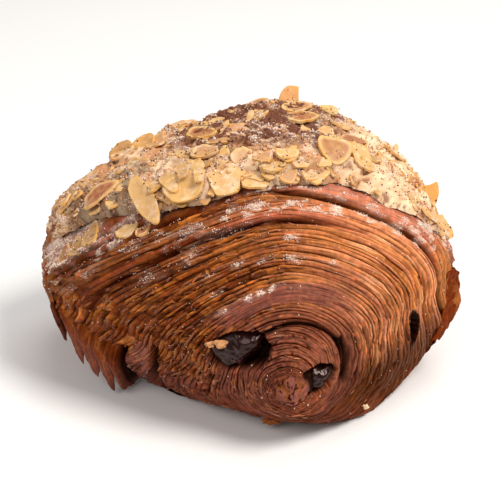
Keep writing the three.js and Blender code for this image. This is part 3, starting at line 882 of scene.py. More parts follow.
def right_colour(face, plateau, strip):
    """The pale, peach layers of the right side, with painted highlights on their crests."""
    colour = blend("peach", "layer", smooth(0.5 + 0.9 * face.wave(9, 3.1, 61)))
    colour = blend(colour, "gold", 0.5 * smooth(0.3 + 1.4 * face.wave(14, 5.9, 71)))
    # Painted highlight: paler crests of the layers, most on the right.
    pale = plateau * smooth(-0.1 + 1.7 * face.wave(26, 3.7, 83)) * past(face.rho, 0.4, 0.1)
    colour = blend(colour, "ridge", pale * mix(0.1, 0.55, within(face.t, -40, 62, 16)))
    return blend(colour, srgb("peach") * 1.4, 0.85 * strip)


def left_colour(face):
    """The dark layers of the left side, with amber painted light where leaves of them stand out and
    painted shade in the gaps between them.
    """
    _, leaf_share, leaf_strength = leaves(face)
    pick, turn, share = shingles(face)
    colour = blend("brown", "dark", smooth(-0.1 + 1.1 * face.wave(9, 3.1, 61)))
    # Painted light: amber on the leaves that stand out.
    lit = past(leaf_share, 0.4, 0.35) * leaf_strength * smooth(0.5 + 0.9 * face.wave(60, 4.7, 67))
    colour = blend(colour, "amber", 0.75 * lit)
    # Painted shade in the gaps between the leaves.
    colour = blend(colour, "gap", 0.85 * before(leaf_share, 0.2, 0.12) * leaf_strength)
    colour = blend(colour, srgb("amber") * 0.9, 0.6 * past(turn, 0.6, 0.3))
    colour = colour * mix(0.72, 1.3, turn)[..., None]
    # Painted shade at the broken ends of some of the short pieces.
    return blend(colour, "gap", 0.75 * before(share, 0.16, 0.08) * (pick < 0.45))


def layer_colour(face, plateau, marks):
    """Colour of the layers: peach on the right, dark on the left, purple low down and within."""
    t, rho, rough, calm = face.t, face.rho, left_share(face.t), calm_share(face.t)
    colour = blend(right_colour(face, plateau, marks["strip"]), left_colour(face), rough * 0.92)
    low = before(np.sin(t), 0.1, 0.7) * past(rho, 0.2, 0.2)
    colour = blend(colour, blend("brown", "purple", 0.75 * calm), 0.75 * low)
    colour = blend(colour, srgb("purple") * 1.1, 0.85 * marks["tongue"])
    _, leaf_share, leaf_strength = leaves(face)
    # Painted shade where the leaves part, in the deep gaps.
    parting_shade = before(leaf_share, 0.22, 0.12) * leaf_strength * deep_share(face)
    colour = blend(colour, "dark", 0.8 * parting_shade)
    # Painted light and shade: each layer lighter on its lit side and darker on the other, the side
    # flipped low down.
    lit_side = mix(face.phase, 1 - face.phase, calm)
    colour = colour * mix(0.8, 1.2, past(lit_side, 0.1, 0.75))[..., None]
    colour = blend(colour, "purple", 0.75 * before(rho, 0.46, 0.12))
    colour = blend(colour, "purple", 0.9 * purple_band(face))
    # Painted glints: bright golden dashes along the sheets' edges, most on the left.
    glint = past(face.wave(95, 7.7, 91), 0.3, 0.25) * (np.abs(face.phase - 0.84) < 0.02)
    return blend(colour, srgb("gold") * 1.2, 0.5 * glint * mix(0.35, 1, rough) * (1 - 0.7 * calm))


def feature_colour(face, colour, marks):
    """Colours the lip, the ledge over it, the sheet over the crack and a few patches of layers."""
    t, rho = face.t, face.rho
    lip = blend(srgb("plum") * 1.25, "brown", 0.9 * within(t, 112, 260, 26))
    colour = blend(colour, lip, 0.85 * marks["lip"])
    # The ledge is peach on the right; on the left it is darker, partly the dough's own brown and partly
    # painted shadow under the crust's front flakes.
    ledge = blend("peach", srgb("layer") * 0.66, 0.9 * within(t, 112, 260, 40))
    colour = blend(colour, ledge, 0.75 * marks["ledge"])
    colour = blend(colour, "rose", 0.9 * marks["over"] * within(t, 28, 110, 30))
    colour = blend(colour, "amber", 0.6 * marks["over"] * within(t, -30, 24, 20))
    mid = within(t, 8, 76, 20) * before(rho, 0.68, 0.08) * past(rho, 0.36, 0.08)
    mid = mid * mix(0.3, 1, past(np.degrees(angle_gap(t, 0)), 32, 24))
    colour = blend(colour, srgb("purple") * 1.1, 0.5 * mid) * mix(1, 0.84, mid)[..., None]
    return blend(colour, srgb("gold") * 1.1, 0.5 * near(t, 113, 8) * bell((rho - 0.775) / 0.03))


def gap_colour(face, colour, open_gap, plateau, marks):
    """Paints shade into the gaps between the layers and the larger openings."""
    trough = np.maximum((1 - plateau) * (0.12 + 0.88 * open_gap), 0.55 * nicks(face))
    foot = blend("dark", "brown", 0.72 * (1 - left_share(face.t)) * (1 - deep_share(face)))
    colour = blend(colour, foot, trough * (1 - 0.7 * purple_band(face)) * (1 - 0.5 * marks["over"]))
    colour = blend(colour, "dark", clamp01(marks["groove"] + marks["crack"]))
    # Painted shade: the gap colour in the hollows, the slit, the side gap and the pits of the batons.
    hollow = marks["inner_gap"] + 2 * marks["slit_walls"] + marks["side_gap"] + 1.2 * marks["right_gap"]
    return blend(colour, "gap", clamp01(hollow * 0.9 + marks["pit"]))


def face_colour(face, open_gap, plateau, marks):
    """Colour of an end, with painted shade where it turns down and under."""
    t, rho = face.t, face.rho
    colour = feature_colour(face, layer_colour(face, plateau, marks), marks)
    colour = gap_colour(face, colour, open_gap, plateau, marks)
    shaded = before(np.sin(t), 0.15, 0.8) * past(rho, 0.15, 0.2)
    # Painted shade: darker where the end turns down and under, less so on the left, a little darker
    # round the top, and darker low on the right.
    painted_shade = mix(1, 0.58, shaded * (1 - 0.75 * within(t, 165, 255, 30))) * mix(1, 0.85, near(t, 95, 38))
    painted_shade = painted_shade * mix(1, 0.6, within(t, -52, -15, 26) * past(rho, 0.3, 0.2))
    # Painted shade low under the roll, redder as well as darker.
    redder_painted_shade = calm_share(t) * past(rho, 0.3, 0.2)
    colour = colour * mix(1, np.array([0.87, 0.74, 0.7]), redder_painted_shade[..., None])
    return colour * painted_shade[..., None]


def face_sugar(face, plateau, marks):
    """How thickly sugar lies on the front end."""
    t, rho = face.t, face.rho
    patches = smooth(rough_field(t * 15, rho * 40, 3) * 2.6 + 0.2)
    band = purple_band(face) * near(t, 107, 14) * past(rho, 0.47, 0.03)
    thin = 0.02 * left_share(t) + 0.15 * within(t, 95, 138, 12) * past(rho, 0.8, 0.1)
    ledge = 1.2 * marks["ledge"] * mix(1, 0.1, within(t, 111, 210, 8))
    over = marks["over"] * (0.3 * within(t, 30, 110, 30) + 0.5 * within(t, 24, 44, 8))
    streaks = 0
    for degrees, place, length, breadth in SUGAR_STREAKS:
        streaks = streaks + near(t, degrees, length) * bell((rho - place) / breadth)
    sugar = clamp01(ledge + band + thin + over) * patches
    return clamp01(sugar + 0.6 * streaks * mix(0.25, 1, patches)) * mix(0.4, 1, plateau)


def sheet_marks(face):
    """Place across the rolled sheet, counted in layers, and along it, for the material's fine leaves."""
    return {"sheet": face.nominal / SPIRAL["pitch"] * 15, "way": face.u * 7 + 0 * face.t}


def kept_faces(face):
    """Faces of a stretch, without those wholly past the rim."""
    faces = grid_faces(*face.t.shape)
    beyond = (face.loose >= 1).ravel()
    return faces[~beyond[faces].all(axis=1)]


def end_surface(face, marks):
    """Points and colours of an end, and how much of each point is the sheet's own edge."""
    open_gap, plateau = layer_gaps(face)
    height = face_height(face, face_relief(face, open_gap, plateau), marks)
    points = face.smooth_points + end_normal(face.end, face.rho, face.t) * height[..., None]
    return points, face_colour(face, open_gap, plateau, marks), plateau


def front_piece(name, mesh, first, last, material):
    """A stretch of the rolled sheet at the front end."""
    face = Face(FRONT, mesh, first, last)
    marks = features(face)
    points, tint, plateau = end_surface(face, marks)
    shine = 0.6 * smooth(0.3 + 1.6 * rough_field(face.t * 22, face.rho * 60, 3)) * left_share(face.t)
    glaze = clamp01(0.25 + shine + 0.5 * purple_band(face) + 0.4 * marks["lip"])
    marks = {"sugar": face_sugar(face, plateau, marks), "glaze": glaze, **sheet_marks(face)}
    return make_piece(name, points, kept_faces(face), material, tint, marks), face, points


def back_piece(material):
    """The rolled sheet at the back end, without the front's larger features."""
    face = Face(BACK, BACK_MESH, -1, SPIRAL["turns"])
    marks = features(face)
    for key in ("slit", "slit_walls", "side_gap", "tongue", "ledge", "lip", "over", "crack", "strip"):
        marks[key] = np.zeros(face.t.shape)
    points, tint, plateau = end_surface(face, marks)
    marks = {"sugar": 0.1 * plateau, "glaze": 0.4, **sheet_marks(face)}
    return make_piece("pastry_back_end", points, kept_faces(face)[:, ::-1], material, tint, marks)


def core_piece(end, name, material):
    """The lump of dough at the middle of the roll."""
    rows, columns = CORE_GRID
    rho, t = grid(np.linspace(0.002, SPIRAL["start"] + 0.03, rows), np.linspace(0, TURN, columns))
    x, y = np.cos(t) * rho, np.sin(t) * rho
    lumps = rough_field(x * 46 + 8, y * 46 + 3, 3)
    pits = past(rough_field(x * 90 + 4, y * 90 + 9, 2), 0.25, 0.2)
    dome = 1.1 * (1 - (rho / CORE_LUMP) ** 2)
    height = np.maximum(dome, -2.5) + 0.6 * lumps - 0.7 * pits
    points = end_point(end, rho, t) + np.array([0, -1.0, 0]) * end["facing"] * height[..., None]
    tint = blend(srgb("purple") * 1.1, srgb("layer") * 0.7, smooth(0.3 - 2.2 * lumps))
    # Painted shade in the pits and in the gap round the lump.
    tint = blend(tint, "dark", 0.9 * pits)
    tint = blend(tint, "gap", past(rho, CORE_LUMP, 0.02))
    faces = grid_faces(*rho.shape)
    if end is FRONT:
        faces = faces[:, ::-1]
    return make_piece(name, points, faces, material, tint, {"sugar": 0, "glaze": 0.5})


def sheet_mesh(points, thickness, normal=None):
    """A closed thin sheet from a grid of points on its upper face."""
    rows, columns = points.shape[:2]
    if normal is None:
        normal = unit(np.cross(np.gradient(points, axis=0), np.gradient(points, axis=1)))
    both = np.concatenate([points.reshape(-1, 3), (points - normal * thickness).reshape(-1, 3)])
    upper = grid_faces(rows, columns)
    index = np.arange(rows * columns).reshape(rows, columns)
    loop = np.concatenate([index[0, :-1], index[:-1, -1], index[-1, :0:-1], index[:0:-1, 0]])
    after = np.roll(loop, -1)
    wall = np.stack([loop, after, after + rows * columns, loop + rows * columns], -1)
    return both, np.concatenate([upper[:, ::-1], upper + rows * columns, wall])


def join(parts):
    """Joins meshes given as points and faces, one after another."""
    starts = np.cumsum([0] + [len(points) for points, faces in parts[:-1]])
    points = np.concatenate([part[0] for part in parts])
    faces = np.concatenate([part[1] + start for part, start in zip(parts, starts)])
    return points, faces


def along_points(points, place):
    """Points along a line of given ones, by place in the list."""
    points = np.array(points)
    order = np.arange(len(points))
    return np.stack([np.interp(place, order, points[:, k]) for k in range(3)], -1)


def tips_colour(way, place, share, fold):
    """Streaked brown dough, purple towards the ends, with painted shade between the tips and in the
    fold.
    """
    streak = waver(place * 3 + 3, way * 5) + 0.5 * waver(place * 8 + 4 * way, way * 7)
    tint = blend("brown", "layer", 0.6 * smooth(0.1 + streak))
    tint = blend(tint, "amber", 0.3 * smooth(-0.3 + 1.4 * streak))
    tint = blend(tint, "dark", 0.5 * smooth(-streak))
    tint = blend(tint, "purple", 0.6 * past(way, 0.35, 0.4))
    # Painted shade between the tips and in the fold.
    between = before(np.minimum(share, 1 - share), 0.14, 0.1) * past(way, 0.3, 0.3)
    tint = blend(tint, "gap", 0.7 * between)
    return blend(tint, "gap", 0.95 * fold * before(way, 0.97, 0.12))


def tips_piece(material):
    """Torn layers that hang down on the left, with a ragged lower edge."""
    rows, columns = TIPS_GRID
    way, place = grid(np.linspace(0, 1, rows), np.linspace(-0.7, 5, columns))
    strip = place + 0.7 + 0.1 * waver(way * 4, place * 0.8)
    share = strip - np.floor(strip)
    drawn = np.where(share < 0.75, 1 - (1 - share / 0.75) ** 1.6, (1 - share) / 0.25)
    fold = past(place, 4.08, 0.14)
    length = 1 - TIP_NOTCH * (1 - drawn) * mix(1, 0.75, draw(np.floor(strip), 3)) * (1 - fold)
    lift = mix(-2.0, 0.5, past(way, 0.2, 0.4)) + 0.5 * np.sin(math.pi * way)
    folds = 0.9 * smooth(share / 0.15) * before(share, 1, 0.6) + 0.2 * waver(place * 9, way * 3)
    height = lift + folds * smooth(way / 0.3) + 0.12 * waver(place * 22, way * 8) - 1.5 * fold
    sag = np.array([-0.8, 0, 0]) * (np.sin(math.pi * way) ** 2)[..., None]
    hang = mix(along_points(TIP_ROOTS, place), along_points(TIP_ENDS, place), (way * length)[..., None])
    points = hang + sag + unit(np.array(TIP_OUTWARD)) * height[..., None]
    both, faces = sheet_mesh(points, THICKNESS["tips"])
    tint = tips_colour(way, place, share, fold)
    # The inner face of the sheet is painted in shade, darker than the outer face.
    tint = np.concatenate([tint.reshape(-1, 3), blend(tint, "dark", 0.6).reshape(-1, 3)])
    return make_piece("pastry_tips", both, faces, material, tint, {"sugar": 0, "glaze": 0.5})


def flap_piece(material):
    """A loose piece of the outer sheet that stands off the rim on the right."""
    rows, columns = FLAP_GRID
    degrees, out = grid(np.linspace(FLAP["from"], FLAP["to"], rows), np.linspace(0, 1, columns))
    t = np.radians(degrees)
    stretch = np.interp(degrees, [FLAP["from"], -19, 3, FLAP["to"]], [0, 1, 1, 0])
    stretch = stretch + 0.06 * waver(degrees * 0.5, 3.3)
    inner = end_point(FRONT, np.full(t.shape, 0.955), t)
    rim = end_point(FRONT, np.ones(t.shape), t)
    off = skin_normal(t, 0 * t) * FLAP["reach"] + np.array([0, 1.4, 0])
    points = mix(inner, rim, np.minimum(1, out * 2)[..., None])
    points = points + off * (np.maximum(0, out * 2 - 1) * stretch)[..., None]
    ridges = 0.12 * np.cos(out * 21 + 2 * waver(degrees * 0.2, 1.0))
    ridges = ridges + 0.2 * waver(degrees * 0.4, out * 4) + 0.6 * smooth(out * 2)
    points = points + end_normal(FRONT, np.full(t.shape, 0.97), t) * ridges[..., None]
    both, faces = sheet_mesh(points, THICKNESS["flap"])
    streak = np.tile(waver(degrees * 0.6, out * 9).ravel(), 2)
    tint = blend("flap", "brown", smooth(0.4 + 0.9 * streak))
    return make_piece("pastry_flap", both, faces, material, tint, {"sugar": 0, "glaze": 0.3})


def shard_weight(face):
    """How likely a chip is to stand at each point: on the layers, most on the left, in no pit."""
    weight = (0.03 + left_share(face.t)) * (face.room > 0.3) * (face.loose < 0.99)
    weight = weight * (1 - purple_band(face)) * (np.abs(face.phase - 0.5) < 0.2)
    for baton in BATONS.values():
        weight = weight * (baton_pit(face.smooth_points, baton, 2.6, 0.12) < 0.01)
    return weight.ravel()


def shards_piece(name, face, points, count, seed, material):
    """Small brittle chips of dough that stand off the layers, most of them on the left."""
    chance = np.random.default_rng(seed)
    weight = shard_weight(face)
    picked = chance.choice(weight.size, count, p=weight / weight.sum())
    i, j = np.unravel_index(picked, face.t.shape)
    ahead = np.roll(points, -1, axis=0)[i, j] - points[np.maximum(i - 1, 0), j]
    keep = np.linalg.norm(ahead, axis=1) < 3
    i, j, ahead = i[keep], j[keep], unit(ahead[keep])
    one_each = (len(i), 1)
    normal = end_normal(FRONT, face.rho[i, j], face.t[i, j])
    ahead = unit(ahead + unit(np.cross(ahead, normal)) * chance.normal(scale=0.22, size=one_each))
    raised = chance.uniform(0.1, 0.8, one_each)
    upward = np.sin(raised) * chance.choice([-1, 1], one_each, p=[0.25, 0.75])
    side = unit(np.cross(ahead, normal)) * np.cos(raised) + normal * upward
    rough = left_share(face.t[i, j])
    length = chance.uniform(0.3, 1.3, len(i)) * (0.6 + 0.8 * rough)
    breadth = chance.uniform(0.1, 0.26, len(i)) * (0.6 + 0.6 * rough)
    parts, shade = [], []
    for k in range(len(i)):
        along = SHARD_ALONG * length[k] + chance.normal(scale=0.12, size=SHARD_ACROSS.shape)
        across = SHARD_ACROSS * breadth[k]
        base = points[i[k], j[k]] + normal[k] * 0.12
        parts.append(sheet_mesh(base + ahead[k] * along + side[k] * across, THICKNESS["shard"]))
        shade.append(chance.uniform())
    both, faces = join(parts)
    corners = 2 * SHARD_ACROSS.size
    shade, left = np.repeat(shade, corners), np.repeat(rough, corners)
    tint = blend("peach", "layer", left)
    tint = blend(tint, "brown", smooth(shade * 1.3 - 0.2) * (0.3 + 0.7 * left))
    marks = {"sugar": 0.15 * shade, "glaze": 0.7}
    return make_piece(name, both, faces, material, tint, marks)


def bits_piece(material):
    """Single lumps of dough: two at the chocolate's left, two under the roll."""
    rows, columns = BIT_GRID
    down, around = grid(np.linspace(0.06, math.pi - 0.06, rows), np.linspace(0, TURN, columns))
    x, y, z = np.sin(down) * np.cos(around), np.sin(down) * np.sin(around), np.cos(down)
    ball = np.stack([x, y, z], -1)
    parts, tints = [], []
    for key, (place, radius, name) in enumerate(BITS):
        lumps = 1 + 0.55 * rough_field(x * 2.4 + key * 5, y * 2.4 + z * 2, 3)
        points = np.array(place) + ball * np.array(radius) * lumps[..., None]
        parts.append((points.reshape(-1, 3), grid_faces(*lumps.shape)[:, ::-1]))
        # Painted shade: each lump darker where its surface dips in and lighter where it bulges.
        tints.append(srgb(name) * (0.4 + 0.6 * lumps.reshape(-1, 1)))
    points, faces = join(parts)
    tint = np.concatenate(tints)
    return make_piece("pastry_bits", points, faces, material, tint, {"sugar": 0, "glaze": 0.6})


def sheet_edges(t, v):
    """Edges of the rolled sheets on the skin: height, and the shade at the foot of each edge."""
    height, shade = 0, 0
    for key, angle in enumerate(SKIN_EDGES):
        sway = 0.09 * waver(v * 5 + key, key * 3.3) + 0.02 * waver(v * 31, key * 1.7)
        off = angle_gap(t, math.radians(angle) + sway)
        height = height + 0.8 * smooth(off / 0.02) * before(off, 0.42, 0.3)
        shade = np.maximum(shade, bell((off + 0.004) / 0.012))
    return height, shade


def rim_sheets(t, v):
    """Edges of sheets that run along the front rim on the left: grooves, and the ridges behind them."""
    groove, ridge = 0, 0
    for line in RIM_SHEETS:
        off = v - line - 0.014 * waver(t * 7, line * 90) - 0.004 * waver(t * 40, line * 50)
        groove = np.maximum(groove, bell(off / 0.008))
        ridge = np.maximum(ridge, bell((off - 0.022) / 0.014))
    share = within(t, 122, 184, 10)
    return groove * share, ridge * share


def skin_colour(t, v, blisters, wrinkles, foot, groove):
    """Browned and mottled, rose along the front of the top, plum on the left, dark underneath, with
    painted shade at the foot of sheet edges, in the rim grooves and under the front flakes.
    """
    tint = blend("brown", "layer", smooth(0.3 + 1.1 * blisters))
    tint = blend(tint, "amber", 0.7 * smooth(-0.1 + 1.6 * wrinkles))
    tint = blend(tint, "dark", 0.75 * smooth(-0.25 - 1.7 * wrinkles - 0.8 * blisters))
    # Painted shade at the foot of each sheet's edge.
    tint = blend(tint, "gap", 0.8 * foot)
    tint = blend(tint, "dark", 0.5 * past(-np.sin(t), 0.75, 0.2))
    tint = blend(tint, "rose", 0.8 * within(t, 18, 108, 24) * before(v, 0.2, 0.1))
    plum = blend("plum", "brown", smooth(0.35 + 1.5 * wrinkles)) * 0.66
    tint = blend(tint, plum, 0.75 * within(t, 125, 165, 16) * before(v, 0.5, 0.3))
    # Painted shadow under the front flakes, and painted shade in the rim grooves.
    flake_shadow = within(t, 106, 127, 7) * before(v, 0.15, 0.06)
    tint = blend(tint, "dark", clamp01(0.85 * groove + 0.7 * flake_shadow))
    return tint * mix(1, 0.72, within(t, 128, 195, 12) * before(v, 0.11, 0.05))[..., None]


def skin_sugar(t, v, ridge):
    """How thickly sugar lies on the skin, most of it on the left."""
    dusted = 0.5 * within(t, 128, 150, 12) * before(v, 0.5, 0.2) + 0.1 * within(t, 10, 190, 20)
    dusted = dusted + 0.45 * ridge * within(t, 100, 146, 8)
    powdered = within(t, 144, 169, 7) * past(v, 0.07, 0.05) * before(v, 0.46, 0.1)
    warped = rough_field(t * 14 + 2 * waver(v * 9, t * 5), v * 20 + waver(t * 7, v * 8), 3)
    patches = smooth(0.15 + 2.2 * warped)
    return clamp01(dusted * patches + 0.8 * powdered * mix(0.45, 1, patches))


def skin_piece(material):
    """The outer sheet between the two ends, blistered and browned, pale with sugar on the left."""
    rim = np.linspace(0, SKIN_GRID["rim"], SKIN_GRID["rim_rows"])[:-1]
    rows = np.append(rim, np.linspace(SKIN_GRID["rim"], 1, SKIN_GRID["rows"]))
    v, t = grid(rows, np.linspace(0, TURN, SKIN_GRID["columns"]))
    blisters = rough_field(np.cos(t) * 9 + 20, np.sin(t) * 9 + v * 14, 4)
    wrinkles = rough_field(t * 30 + 4 * waver(v * 6, t * 3), v * 16, 3)
    folds, foot = sheet_edges(t, v)
    groove, ridge = rim_sheets(t, v)
    edge = smooth(v / 0.03) * before(v, 1, 0.03)
    loose = 2.4 * near(t, -13, 19) * smooth(1 - v / 0.2)
    height = (0.8 * blisters + 0.35 * wrinkles + folds + loose) * mix(0.3, 1, edge) - 0.3 * (1 - edge)
    height = height + 0.55 * ridge - 0.9 * groove
    front, back = (0.035 * smooth(0.5 + 1.2 * rough_field(t * 9, k + 0 * t, 4)) for k in (3.3, 8.1))
    front = front * (1 - within(t, 15, 110, 20)) * (1 - within(t, 250, 325, 15))
    run_on = v - front * smooth(1 - v / 0.1) + back * smooth(1 - (1 - v) / 0.1)
    points = skin_point(t, run_on) + skin_normal(t, v) * height[..., None]
    tint = skin_colour(t, v, blisters, wrinkles, foot, groove)
    marks = {"sugar": skin_sugar(t, v, ridge), "glaze": 0.4 + 0.3 * blisters}
    return make_piece("pastry_skin", points, grid_faces(*t.shape)[:, ::-1], material, tint, marks)


def baton_piece(name, baton, material):
    """A softened baton of chocolate along the roll, rounded and dented where it shows."""
    rows, columns = BATON_GRID
    steps, around = grid(np.linspace(0, 1, rows), np.linspace(0, TURN, columns))
    along = steps - BATON_BUNCHING * np.sin(TURN * steps) / TURN
    ends = np.minimum(along, 1 - along)
    shrink = np.sqrt(np.clip(1 - (1 - clamp01(ends / 0.03)) ** 2, 4e-4, 1))
    dents = 1.1 * rough_field(np.cos(around) * 1.6 + 7, np.sin(around) * 1.6 + along * 40, 3)
    a = np.cos(around) * (baton["half_width"] + dents) * shrink
    b = np.sin(around) * (baton["half_height"] + dents) * shrink
    tilt = math.radians(baton["tilt"])
    x = baton["x"] + a * math.cos(tilt) - b * math.sin(tilt)
    z = baton["z"] + a * math.sin(tilt) + b * math.cos(tilt)
    lumps = 1.4 * rough_field(x * 0.32 + 3, z * 0.32, 3) + 0.6 * rough_field(x * 0.8 + 1, z * 0.8, 2)
    off_middle = np.hypot(a / baton["half_width"] - 0.35, b / baton["half_height"] - 0.1)
    front = baton["front"] + baton["slope"] * (x - baton["x"]) + lumps
    front = front - baton["swell"] * bell(off_middle / 0.6)
    points = np.stack([x, mix(front, baton["back"], along), z], -1)
    tint = np.broadcast_to(srgb("chocolate"), points.shape)
    faces = grid_faces(*around.shape)[:, ::-1]
    return make_piece(name + "_soft", points, faces, material, tint, node=name, slot="chocolate")


def crust_front(across):
    """Share of the way back at which the crust starts, set back on the left."""
    return CREAM["front"] + CREAM["front_left"] * past(across, 0.64, 0.36)


def crust_place(across, along):
    """Place on the crust for shares across (0 right, 1 left) and along (0 front, 1 back) of it."""
    sway = math.radians(CREAM_EDGE["angle"])
    right = math.radians(CREAM["right"]) + sway * waver(along * 6 + 3, across * 9 + 3) * (1 - across)
    left = math.radians(CREAM["left"]) + sway * waver(along * 6 + 7, across * 9 + 7) * across
    ragged = CREAM_EDGE["along"]
    front = crust_front(across) + ragged * rough_field(across * 14 + 3, 5.5 + 0 * along, 2)
    back = CREAM["back"] + 1.3 * ragged * (rough_field(across * 13 + 9, 2.5 + 0 * along, 3) - 0.5)
    lobes = (waver(across * 13 + 4, 1.7 + 0 * along) - 0.6) * (1 - bell((across - 0.38) / 0.09))
    return mix(right, left, across), mix(front, back + CREAM_EDGE["lobes"] * lobes, along)


def crust_share(degrees, v):
    """The shares across and along the crust of an angle and a share of the way back."""
    across = (degrees - CREAM["right"]) / (CREAM["left"] - CREAM["right"])
    front = crust_front(across)
    return across, (v - front) / (CREAM["back"] - front)


def crust_base(t, v):
    """What the crust lies on: the skin, or just past the rim the edge of the front end."""
    over = end_point(FRONT, 1 + np.minimum(v, 0), t)
    return np.where((v < 0)[..., None], over, skin_point(t, np.maximum(v, 0)))


def crust_depth(across, along):
    from_sides = np.minimum(across, 1 - across) / CREAM_EDGE["taper"]
    from_ends = np.minimum(along, 1 - along) / CREAM_EDGE["taper"]
    body = clamp01(np.minimum(from_sides, from_ends)) ** 0.7
    bumps = waver(across * 16, along * 11) * 0.6 + waver(across * 33 + 5, along * 21) * 0.4
    sides = mix(CREAM_DEPTH["right"], CREAM_DEPTH["left"], across)
    depth = mix(CREAM_DEPTH["middle"], sides, smooth(np.abs(2 * across - 1)))
    hump = CREAM_DEPTH["hump"] * bell((across - 0.36) / 0.13) * past(along, 0.5, 0.25)
    return CREAM_DEPTH["edge"] + (depth + hump + CREAM_DEPTH["bumps"] * bumps) * body


def field_over(points):
    """A rough field over a grid of points, laid out by the way round it and the place along Y."""
    steps = np.diff(points, axis=0, prepend=points[:1])
    way = np.cumsum(np.linalg.norm(steps, axis=-1), axis=0)

    def field(per_mm, seed, octaves):
        return rough_field(way * per_mm + seed, points[..., 1] * per_mm, octaves)

    return field


def cream_relief(field):
    """Lumps, crumbs and pits of the cream."""
    return field(0.5, 0, 4), field(1.3, 3, 2), past(field(0.6, 7, 3), 0.3, 0.22)


def cream_colour(t, v, across, along, field, brown_patch, dusky):
    """Pale cream, browned in patches, in its pits and in the middle, with painted shade under the front
    flakes and on the left towards the front.
    """
    lumps, crumbs, pits = cream_relief(field)
    tint = blend("cream", "cream_pale", smooth(0.45 + 1.1 * field(0.35, 3, 4) + 0.4 * lumps))
    tint = blend(tint, srgb("cream_pale") * 1.06, 0.55 * before(across, 0.4, 0.2))
    browned = 1.9 * field(0.24, 0, 4) + 0.8 * crumbs + 1.5 * brown_patch - 0.45
    browned = smooth(browned - 0.4 * before(across, 0.42, 0.2))
    tint = blend(tint, "cream_brown", clamp01(0.9 * browned + 0.75 * pits))
    tint = blend(tint, srgb("cream_brown") * 0.8, 0.45 * brown_patch * dusky)
    # Painted shade under the front flakes and on the left towards the front.
    edge_shade = before(along, 0.16, 0.1) * past(across, 0.33, 0.06) * before(across, 0.8, 0.06)
    shade = mix(1, 0.7, edge_shade) * mix(1, 0.45, within(t, 127, 154, 8) * before(v, 0.6, 0.15))
    return tint * shade[..., None]


def cream_piece(material):
    """The baked cream, lumpy and pitted, with its edges turned down on to the dough."""
    across, along = grid(*(np.linspace(0, 1, cells + 1) for cells in CREAM_GRID))
    t, v = crust_place(across, along)
    field = field_over(crust_base(t, v))
    lumps, crumbs, pits = cream_relief(field)
    edge = np.minimum(np.minimum(across, 1 - across) * 2.2, np.minimum(along, 1 - along))
    height = CLEARANCE + crust_depth(across, along) * mix(0.1, 1, np.sqrt(smooth(edge / 0.025)))
    height = height + (1.1 * lumps + 0.4 * crumbs - 0.9 * pits) * smooth(edge / 0.03)
    ragged = field(0.4, 3, 3)
    v = v + 0.016 * ragged * (1 - smooth(along / 0.2)) - 0.012 * ragged * (1 - before(along, 1, 0.2))
    points = crust_base(t, v) + skin_normal(t, np.maximum(v, 0)) * height[..., None]
    brown_patch = within(t, 64, 114, 20) * past(v, 0.16, 0.18) * before(v, 1.0, 0.12)
    dusky = smooth(0.5 + 1.6 * field(0.5, 13, 3))
    tint = cream_colour(t, v, across, along, field, brown_patch, dusky)
    sugar = smooth(0.2 + 1.4 * field(0.45, 9, 3)) * (0.2 + 0.08 * brown_patch)
    marks = {"sugar": sugar, "dusky": brown_patch * mix(0.75, 1, dusky)}
    return make_piece("almond_cream", points, grid_faces(*t.shape), material, tint, marks, **CRUST)


def noted_flakes():
    """The flakes that stand out."""
    for degrees, v, length, width, spin, tip, lift, square, breaks, toast in NOTED_FLAKES:
        across, along = crust_share(degrees, v)
        yield Flake(across, along, length, width, spin, tip, lift, square, breaks, 0.6, 18, toast)


def edge_flakes():
    """Flakes that lean over the crust's front edge."""
    for k in range(EDGE_FLAKES):
        yield Flake(
            across=mix(0.36, 0.76, (k + draw(k, 41)) / EDGE_FLAKES), along=mix(0.03, 0.15, draw(k, 42)),
            length=mix(2.6, 7.4, draw(k, 43)), width=mix(2.4, 5.6, draw(k, 44)),
            spin=mix(-140, -40, draw(k, 45)), tip=mix(-24, -2, draw(k, 46)),
            lift=mix(-0.4, 0.7, draw(k, 47)), square=mix(2, 3.6, draw(k, 48)),
            breaks=1 + int(3 * draw(k, 49)), thickness=0.5, cells=12, toast=0.3 * draw(k, 50),
        )


def scattered_flakes():
    """Flakes spread over the whole crust."""
    for k in range(SCATTERED_FLAKES):
        yield Flake(
            across=mix(0.06, 0.94, (k * GOLDEN) % 1),
            along=mix(0.25, 0.95, (k + draw(k, 1)) / SCATTERED_FLAKES),
            length=mix(*FLAKE["length"], draw(k, 3)), width=mix(*FLAKE["width"], draw(k, 4)),
            spin=360 * draw(k, 5), tip=(draw(k, 6) - 0.3) * 26, lift=0.3 * draw(k, 2),
            square=mix(2, 3.4, draw(k, 7)), breaks=int(2.9 * draw(k, 8)),
            thickness=0.55, cells=14, toast=draw(k, 9) ** 2,
        )


def flake_bits():
    """Broken bits between the flakes."""
    for k in range(FLAKE_BITS):
        length = mix(1.6, 5.0, draw(k, 22) ** 1.5)
        yield Flake(
            across=mix(0.03, 0.97, (k * GOLDEN + 0.31) % 1), along=mix(0.01, 0.97, draw(k, 21) ** 1.5),
            length=length, width=length * mix(0.45, 0.9, draw(k, 23)),
            spin=360 * draw(k, 25), tip=(draw(k, 24) - 0.4) * 50, lift=0.6 * draw(k, 26),
            square=2.2, breaks=1 + int(2.9 * draw(k, 28)),
            thickness=0.5, cells=6, toast=draw(k, 29) ** 2,
        )


